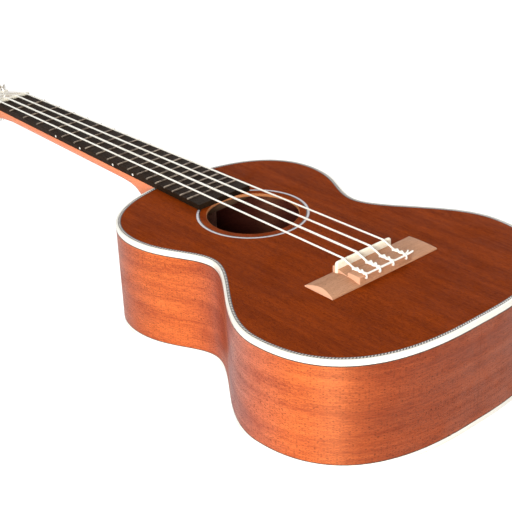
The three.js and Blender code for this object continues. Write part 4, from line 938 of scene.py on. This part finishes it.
# Saddle: a cream bone strip standing in a slot across the bridge, round on top, its ends rounded down.
# It reaches a little further to the treble side.
saddle_y, saddle_half, saddle_thickness, saddle_foot = nut_y - saddle_from_nut, 25.4, 2.6, body_depth + 1.5
saddle_shift, saddle_end, saddle_drop = 0.4, 1.8, 1.7
string_rise, solid_string_radius, string_gap = 10.9, 0.45, 0.1
bone_cream = celluloid("bone_cream", (0.96, 0.92, 0.79), (0.86, 0.77, 0.57), "Object", rough=0.3)
across = saddle_half * np.sin(np.linspace(-np.pi / 2, np.pi / 2, 61))
rounding = np.clip((np.abs(across) - (saddle_half - saddle_end)) / saddle_end, 0, 1)
angle = np.linspace(0, np.pi, 13)
saddle_rings = []
for x, draw in zip(across + saddle_shift, rounding):
    top = (body_depth + string_rise - solid_string_radius - string_gap
           - saddle_drop * (1 - np.sqrt(1 - draw ** 2 * 0.999)))
    radius = saddle_thickness / 2 * (1 - 0.25 * draw ** 3)
    crown = surface(x, saddle_y + radius * np.cos(angle), top - radius + radius * np.sin(angle))
    saddle_rings.append(np.vstack((crown, [(x, saddle_y + side * radius, saddle_foot) for side in (-1, 1)])))
piece("saddle_strip", loft(saddle_rings), bone_cream, "bone", "saddle", smooth=50)

# Tuner plates: pressed steel, nickel plated, one behind each post. Two ears carry the worm, and two
# domed screws hold the plate to the back of the head.
post_places, post_offset = {"g": 37.0, "c": 79.0, "e": 79.0, "a": 37.0}, 15.5
tuner_hands = {"g": -1, "c": -1, "e": 1, "a": 1}
plate_thickness, plate_half, plate_ends, plate_corner = 1.0, 7.4, (-12.0, 19.0), 4.2
screw_places, head_gap, gear_gap = (-9.0, 16.0), 0.1, 2.1
cross_depth, arm_sides, arm_ends = 0.5, (0.16, 0.26), (0.52, 0.6)
ear_thickness, ear_half, ear_corner, ear_ease = 1.1, 3.6, 2.6, 0.18
veneer_top, plate_face = veneer_thickness + head_gap, -head_thickness - head_gap - plate_thickness
gear_thickness, gear_teeth, gear_module, worm_radius, worm_length, shaft_radius = 4.0, 14, 0.8, 3.0, 8.6, 1.6
gear_top = plate_face - gear_gap
gear_foot, gear_middle = gear_top - gear_thickness, gear_top - gear_thickness / 2
gear_radius = gear_module * gear_teeth / 2
worm_place, worm_pitch = gear_radius + worm_radius, math.pi * gear_module


def plated(name, colour, rough):
    """Plated metal: fine polishing lines, cloudy tarnish that dims it, and handling marks."""
    add, where, shade = finish(name)
    strokes = noise(add, add("Mapping", {"Vector": where, "Scale": (1.0, 0.04, 0.6)}), 2800.0, 3.0)
    tarnish = spread(add, noise(add, where, 260.0, 4.0), 0.45, 0.75)
    dim = [channel * 0.72 for channel in colour]
    return shade({"Base Color": blended(add, tarnish, (*colour, 1), (*dim, 1)), "Metallic": 1.0,
                  "Roughness": handled(add, where, spread(add, strokes, 0.3, 0.7, rough, rough + 0.09), 0.14),
                  "Normal": relief(add, strokes, 0.105, 0.00003)})


def on_posts(*kinds):
    """Pieces for each of the four tuners. A kind is a name, its shapes in the tuner's own axes (outward, up
    the head, out of its face), material, slot, node, body and smooth angle. The bass side is mirrored."""
    for note, hand in tuner_hands.items():
        for name, shapes, material, slot, node, body, smooth in kinds:
            vertices, faces = stacked(*shapes)
            places = np.array([hand, 1, 1]) * vertices + [hand * post_offset, post_places[note], 0]
            piece(name % note, (on_head(places), faces), material, slot, node and node + note,
                  body and body + note or "root", smooth=smooth)


def round_worm(x, radius, count):
    """Rings round the line on which the worm turns."""
    angle = full_turn(count)
    return surface(x, worm_place + radius * np.cos(angle), gear_middle + radius * np.sin(angle))


def turned_x(profile, count):
    """An (outward, radius) profile turned about the line on which the worm turns."""
    return round_worm(*np.array(profile, float).T[:, :, None], count)


def cross_head(along, base, radius=1.9, rise=0.75):
    """A domed screw head with a cross cut in it: the dome r = R sin t sinks where it lies near either arm."""
    share = np.concatenate((np.linspace(0.04, 0.62, 12), np.linspace(0.68, 1, 7)))[:, None]
    angle = full_turn(48)
    x, y = radius * share * np.cos(angle), radius * share * np.sin(angle)
    dome = rise * np.sqrt(1 - np.minimum(share, 0.995) ** 2 * 0.98)
    from_arm = np.minimum(np.abs(x), np.abs(y))
    cut = cross_depth * (1 - smooth_step(from_arm, *arm_sides)) * (1 - smooth_step(share, *arm_ends))
    rings = surface(x, along + y, base - (dome - cut))
    return loft(np.vstack((rings, (rings[-1] * [1, 1, 0] + [0, 0, base])[None])))


nickel = plated("nickel_plate", (0.72, 0.70, 0.67), 0.17)
plate = slab(oblong(plate_half, *plate_ends), plate_face, plate_face + plate_thickness, ease=0.25,
             radii=plate_corner)
ear = rounded([(worm_place - ear_half, plate_face + 0.5), (worm_place - ear_half, gear_middle - ear_half),
               (worm_place + ear_half, gear_middle - ear_half), (worm_place + ear_half, plate_face + 0.5)],
              [0.1, ear_corner, ear_corner, 0.1], 6)
middle = ear.mean(axis=0)
ears = [loft([surface(x, *(middle + (ear - middle) * size).T) for x, size in (
    (low, 0.95), (low + ear_ease, 1.0), (low + ear_thickness - ear_ease, 1.0), (low + ear_thickness, 0.95))])
    for low in (-plate_half, plate_half - ear_thickness)]
plate_screws = [cross_head(place, plate_face) for place in screw_places]
on_posts(("tuner_plate_%s_pressed", [plate, *ears], nickel, "tuner_metal", "tuner_plate_", "", 40),
         ("plate_screws_%s", plate_screws, nickel, "tuner_metal", "", "", 50))

# Bushings: turned ferrules of nickel-plated brass, one round each post.
# They are pressed into the head from its face, and the posts turn in them.
ferrule_rise = 1.2
ferrule = np.array([(3.15, -1.0), (5.15, -1.0), (5.15, 0), (5.4, 0.08), (5.4, 0.62), (5.2, 0.86),
                    (4.7, 1.08), (4.1, ferrule_rise), (3.4, ferrule_rise), (3.18, 1.12), (3.15, 0.9)])
ferrule_rings = turned_rings(ferrule + [0, veneer_top], 48)
on_posts(("bushing_%s_ferrule", [loft(ferrule_rings, True)], nickel, "tuner_metal", "bushing_", "", 40))

# Posts: a steel shaft with a waist for the windings, a cross hole for the string and a domed cap. The
# brass gear is screwed on its foot.
post_radius, hub_radius, cap_radius, string_hole = 2.8, 3.0, 3.3, 0.75
post_top, neck_foot = veneer_top + 10.8, veneer_top + 1.4
tooth_flank, tooth_clear, tooth_tip, tooth_foot = math.tan(math.radians(20)), 0.12, 0.85, 1.15
tooth_half = worm_pitch / 4 - tooth_clear
gear_tip, gear_root = gear_radius + gear_module * tooth_tip, gear_radius - gear_module * tooth_foot
gear_levels = [(0.02, 0.9), (0.3, 0.15), (0.6, 0.0), (2.0, 0.0), (3.4, 0.0), (3.7, 0.15), (3.98, 0.9)]
yellow_brass = plated("yellow_brass", (0.76, 0.56, 0.28), 0.26)


def turned(profile, count):
    """A (radius, height) profile turned about the post's axis, closed at its two ends on that axis."""
    return loft(np.swapaxes(turned_rings(profile, count), 0, 1))


def toothed_ring(up, draw):
    """The gear's outline at one height, turned a little with height to lean with the worm's thread."""
    tip, root = gear_tip - draw * 0.5, gear_root - draw * 0.1
    tip_half = tooth_half - (gear_tip - gear_radius) * tooth_flank
    root_half = tooth_half + (gear_radius - gear_root) * tooth_flank
    gullet = np.pi * root / gear_teeth
    radius = np.array([root, root, tip - 0.12, tip, tip, tip - 0.12, root, root])
    offset = np.array([-gullet, -root_half, -tip_half - 0.05, -tip_half * 0.8, tip_half * 0.8,
                       tip_half + 0.05, root_half, gullet - 0.05])
    lean = worm_pitch / (2 * np.pi * worm_radius) / gear_radius * (gear_foot + up - gear_middle)
    angle = full_turn(gear_teeth)[:, None] + offset / radius - lean
    return surface(radius * np.sin(angle), radius * np.cos(angle), gear_foot + up).reshape(-1, 3)


shaft = turned([(0.02, gear_top - 0.6), (hub_radius - 0.1, gear_top - 0.6), (hub_radius, gear_top - 0.5),
                (hub_radius, neck_foot - 0.15), (hub_radius, neck_foot), (post_radius, neck_foot + 0.5),
                (post_radius, post_top - 1.6), (2.95, post_top - 1.2), (cap_radius, post_top - 1.0),
                (cap_radius, post_top - 0.55), (3.2, post_top - 0.3), (2.8, post_top - 0.08), (2.0, post_top),
                (0.9, post_top), (0.6, post_top - 0.15), (0.02, post_top - 0.2)], 40)
shaft = drilled(shaft, ((0, 0, post_top - 2.5), (1, 0, 0), string_hole, 12))
gear = loft([toothed_ring(*ring) for ring in gear_levels])
washer = turned([(0.02, gear_foot + 0.1), (2.9, gear_foot + 0.1), (2.9, gear_foot - 0.2),
                 (2.7, gear_foot - 0.35), (0.02, gear_foot - 0.35)], 32)
gear_screw = cross_head(0.0, gear_foot - 0.3, radius=2.1, rise=0.8)
on_posts(("post_%s_shaft", [shaft], nickel, "tuner_metal", "post_", "peg_", 40),
         ("gear_%s", [gear], yellow_brass, "tuner_metal", "", "peg_", 35),
         ("gear_screw_%s", [washer, gear_screw], nickel, "tuner_metal", "", "peg_", 45))

# Worm shafts: a steel screw cut on the button's shaft, turning in the ears and driving the gear.
# The thread tapers away at the screw's ends, and a collar runs against the outer ear.
around, per_pitch, thread_fade, collar_radius = 48, 16, 0.5, 2.3
inner_end, outer_end = -plate_half - 0.15, 27.7
x = np.linspace(-worm_length / 2, worm_length / 2, round(worm_length / worm_pitch * per_pitch) + 1)[:, None]
angle = full_turn(around)
turns = x / worm_pitch - angle / (2 * np.pi)
offset = np.abs(turns - np.round(turns)) * worm_pitch
tip_half = tooth_half - gear_module * tooth_tip * tooth_flank
root_half = tooth_half + gear_module * tooth_foot * tooth_flank
size = worm_radius - gear_module * tooth_foot + gear_module * (tooth_tip + tooth_foot) * np.clip(
    (root_half - offset) / (root_half - tip_half), 0, 1)
size = shaft_radius + (size - shaft_radius) * np.clip((worm_length / 2 - np.abs(x)) / thread_fade, 0, 1)
thread = round_worm(x, size, around)
shaft_in = turned_x([(inner_end, 1.3), (inner_end + 0.3, shaft_radius),
                     (-worm_length / 2 - 0.05, shaft_radius)], around)
shaft_out = turned_x([(worm_length / 2 + 0.05, shaft_radius), (plate_half + 0.2, shaft_radius),
                      (plate_half + 0.25, collar_radius), (plate_half + 1.0, collar_radius),
                      (plate_half + 1.1, shaft_radius), (outer_end, shaft_radius)], around)
worm = loft(np.vstack((shaft_in, thread, shaft_out)))
on_posts(("worm_shaft_%s_cut", [worm], nickel, "tuner_metal", "worm_shaft_", "button_", 45))

# Buttons: moulded pearly plastic, waisted where it meets the shaft and swelling to a flat oval.
# A small screw in the outer end holds each on its shaft.
button_start, button_length, button_half_width, button_half_thickness = 19.0, 15.0, 8.0, 3.6
button_end = button_start + button_length
button_shares = [(0, 0.30, 0.56), (0.03, 0.34, 0.62), (0.1, 0.37, 0.68), (0.22, 0.5, 0.72),
                 (0.38, 0.82, 0.86), (0.6, 1, 1), (0.8, 0.93, 0.92), (0.94, 0.66, 0.7), (0.985, 0.4, 0.45),
                 (1, 0.12, 0.14)]
add, where, shade = finish("pearl_button")
clouds = noise(add, where, 150.0, 3.0, 2.5)
pearl = shade({"Base Color": blended(add, spread(add, clouds, 0.35, 0.68), (0.86, 0.84, 0.79, 1),
                                     (0.66, 0.62, 0.55, 1)),
               "Roughness": handled(add, where, spread(add, clouds, 0.3, 0.7, 0.14, 0.22), 0.1),
               "Coat Weight": 0.6, "Coat Roughness": 0.08})
out, wide, thick = smooth_through(button_shares, 5).T[:, :, None]
angle = full_turn(around)
oval = [np.sign(wave) * np.abs(wave) ** 0.85 for wave in (np.cos(angle), np.sin(angle))]
button = loft(surface(
    button_start + out * button_length, worm_place + wide * button_half_width * oval[0],
    gear_middle + thick * button_half_thickness * oval[1]))
stud = turned_x([(button_end - 0.6, 1.7), (button_end + 0.1, 1.7), (button_end + 0.3, 1.4),
                 (button_end + 0.42, 0.7), (button_end + 0.45, 0.05)], 24)
on_posts(("tuner_button_%s_pearl", [button], pearl, "button_pearl", "tuner_button_", "button_", 60),
         ("button_screw_%s", [loft(stud)], nickel, "tuner_metal", "", "button_", 45))

# Nut: a cream bone bar at the head end of the fretboard. Each string lies in its own filed slot and
# breaks over the highest line towards its post.
string_radii = {"g": 0.68, "c": 0.80, "e": 0.70, "a": 0.64}
string_radius, coil_pitch, coil_turns, coil_steps, coil_gap = 0.50, 1.4, 2, 40, 0.3
coil_radius = post_radius + coil_gap + string_radius
coil_start = veneer_top + head_gap + ferrule_rise + coil_gap + string_radius
first_of_coil = -(coil_turns * coil_steps + 4)
nut_spacing, nut_top, nut_half, slot_radius = 8.97, board_top + 1.8, nut_width / 2, string_radius + 0.08
nut_steps, nut_fall, nut_ease, ease_depth = 353, 1.1, 0.5, 0.35
string_height, over_block = nut_top - string_gap, tie_height + 0.2 + string_radius


def on_coil(note, nut_x):
    """The windings: a helix round the post, from where the string from the nut just touches it."""
    hand, place = tuner_hands[note], post_places[note]
    down, back = string_height - head_start[2], nut_y + nut_length / 2 - head_start[1]
    start = np.array([nut_x, back * math.cos(head_tilt) - down * math.sin(head_tilt)])
    centre = touch = np.array([hand * post_offset, place])
    for _ in range(4):
        way = (touch - start) / np.linalg.norm(touch - start)
        first = math.atan2(hand * way[0], way[1])
        touch = centre + coil_radius * np.array([-hand * math.cos(first), math.sin(first)])
    turn = np.linspace(0, 2 * np.pi * coil_turns, coil_turns * coil_steps + 1)
    coil = surface(centre[0] - hand * coil_radius * np.cos(first + turn),
                   centre[1] + coil_radius * np.sin(first + turn),
                   coil_start + coil_pitch * turn / (2 * np.pi))
    way = (coil[-1] - coil[-2]) / np.linalg.norm(coil[-1] - coil[-2])
    return on_head(np.vstack((coil, coil[-1] + way * [[1.0], [2.0], [3.0]])))


def tie(x, tail, strand):
    """The tie behind the saddle, from the loose end to the hole: (across, back, up) from the bridge's front
    edge. Two strands cross the block as a helix of one turn round each other."""
    turn = np.linspace(0, 2 * np.pi, 13)
    back = tie_rear - 1.2 + (tie_front + 1.0 - tie_rear + 1.2) * np.linspace(0, 1, 13)
    axis = tie_height + 0.1 + strand + strand * np.abs(np.sin(turn))
    out, home = (surface(way * strand * np.cos(turn), back, axis - way * strand * np.sin(turn))
                 for way in (-1, 1))
    low, rise = tie_hole_height - 0.1, [(0, -3, 0), (0, 0.2, 0), (-0.1, 0.85, 0.35), (-0.25, 1.1, 1.3)]
    rise = [(across, tie_rear + beyond, low + up) for across, beyond, up in rise] + [
        (-0.4, tie_rear + 0.75, over_block - 0.15), (-0.47, tie_rear + 0.05, over_block + 0.28)]
    knot = [(0.62, 0.2, 0.1), (0.7, -0.45, -0.35), (0.45, -0.9, -0.1), (0.0, -1.1, 0.5)]
    knot = [(-across, back, up) for across, back, up in knot] + knot[-2::-1]
    path = np.vstack((rise, out, [(0, tie_front, over_block)] + np.array(knot), home[::-1], tail))
    return surface(x + path[:, 0], bridge_front - path[:, 1], body_depth + path[:, 2])[::-1]


edge_tail = [(0.9, -0.5, 0.3), (1.9, -0.1, 0.05), (3.5, 0, 0), (6.0, 0, 0), (9.0, 0, -0.02)]
tails = {"g": edge_tail + [(12.2, 0.1, -0.1)], "c": edge_tail + [(12.2, 0.1, -0.1)],
         "e": edge_tail + [(12.2, 0.05, 0), (15.2, 0.3, 0.4), (18.8, 0.8, 1.2)],
         "a": [(1.3, -1.2, 0.25), (3.0, -1.5, 0.4), (4.8, -2.4, 1.1)]}


def string_path(number, note):
    """The whole run: tie, saddle crown, the straight span, the nut and the windings."""
    radius = saddle_thickness / 2 + string_gap + string_radius
    angle = np.linspace(1, 0, 7) * math.atan2(string_rise - tie_hole_height, tie_front - saddle_place)
    crown = surface(string_xs[number], saddle_y - radius * np.sin(angle),
                    body_depth + string_rise - radius * (1 - np.cos(angle)))
    nut_x = (number - 1.5) * nut_spacing
    tail = np.array(tails[note]) + [0, tie_rear + 0.05, over_block - 0.2]
    return np.vstack((smooth_through(tie(string_xs[number], tail, string_radii[note]), 5), crown,
                      [[nut_x, nut_y, string_height], [nut_x, nut_y + nut_length / 2, string_height]],
                      on_coil(note, nut_x)))


paths = {note: string_path(number, note) for number, note in enumerate(tuner_hands)}
nut_rows = np.linspace(-nut_half, nut_half, nut_steps)
nut_profile = rounded([(nut_y, board_foot), (nut_y, nut_top), (nut_y + nut_length / 2, nut_top),
                       (nut_y + nut_length, nut_top - nut_fall), (nut_y + nut_length, board_foot)],
                      [0.1, 0.45, 0.8, 0.6, 0.1], 7)
nut_rings = surface(nut_rows[:, None], *nut_profile.T)
x, y, z = np.moveaxis(nut_rings, -1, 0)
for path in paths.values():
    near = path[first_of_coil - 2:first_of_coil + 1]
    at_x, at_z = (np.interp(y, near[:, 1], near[:, axis]) for axis in (0, 2))
    over = np.sqrt(np.maximum(slot_radius ** 2 - (x - at_x) ** 2, 0))
    z[:] = np.where((over > 0) & (z > board_foot + 1), np.minimum(z, at_z - over), z)
draw = np.clip((np.abs(nut_rows) - nut_half + nut_ease) / nut_ease, 0, 1) ** 2 * ease_depth
nut_middle = np.array([nut_y + nut_length / 2, (board_foot + nut_top) / 2])
nut_rings[..., 1:] -= (nut_rings[..., 1:] - nut_middle) / 3 * draw[:, None, None]
piece("nut_bar", loft(nut_rings), bone_cream, "bone", "nut", smooth=50)

# Strings: four clear-white nylon monofilaments, tied at the bridge through their own holes and wound
# twice round the posts. The loose ends are trimmed with side cutters.
add, where, shade = finish("milky_nylon", "UV")
dirt = spread(add, noise(add, where, 30.0, 3.0), 0.4, 0.75)
nylon = shade({"Base Color": blended(add, dirt, (0.94, 0.92, 0.85, 1), (0.84, 0.80, 0.70, 1)),
               "Roughness": spread(add, noise(add, where, 260.0), 0.3, 0.7, 0.22, 0.34),
               "Coat Weight": 0.3, "Coat Roughness": 0.1})


def unit(ways):
    """Each way at length one."""
    return ways / np.linalg.norm(ways, axis=1)[:, None]


def tube(path, radius):
    """A round tube on a path. At each point a first normal is taken square to the tangent; the twist from
    point to point, summed up, turns it back so that the tube doesn't wring."""
    path = path[np.concatenate(([True], np.linalg.norm(np.diff(path, axis=0), axis=1) > 1e-3))]
    way = unit(np.gradient(path, axis=0))
    normal = unit(np.cross(way, np.eye(3)[np.argmin(np.abs(way), axis=1)]))
    second = np.cross(way, normal)
    dot = (normal[:-1] * way[1:]).sum(axis=1) / (1 + (way[:-1] * way[1:]).sum(axis=1))
    carried = normal[:-1] - dot[:, None] * (way[:-1] + way[1:])
    twist = np.arctan2((carried * second[1:]).sum(axis=1), (carried * normal[1:]).sum(axis=1))
    angle = full_turn(12) + np.concatenate(([0], np.cumsum(twist)))[:, None]
    size = np.full((len(path), 1, 1), radius)
    size[[0, -1]] *= 0.6
    return path[:, None] + size * (np.cos(angle)[..., None] * normal[:, None]
                                   + np.sin(angle)[..., None] * second[:, None])


for note, path in paths.items():
    rings = tube(path, string_radii[note])
    piece("string_%s_nylon" % note, loft(rings), nylon, "string_nylon", "string_" + note,
          uv=along_rings(rings), smooth=60)
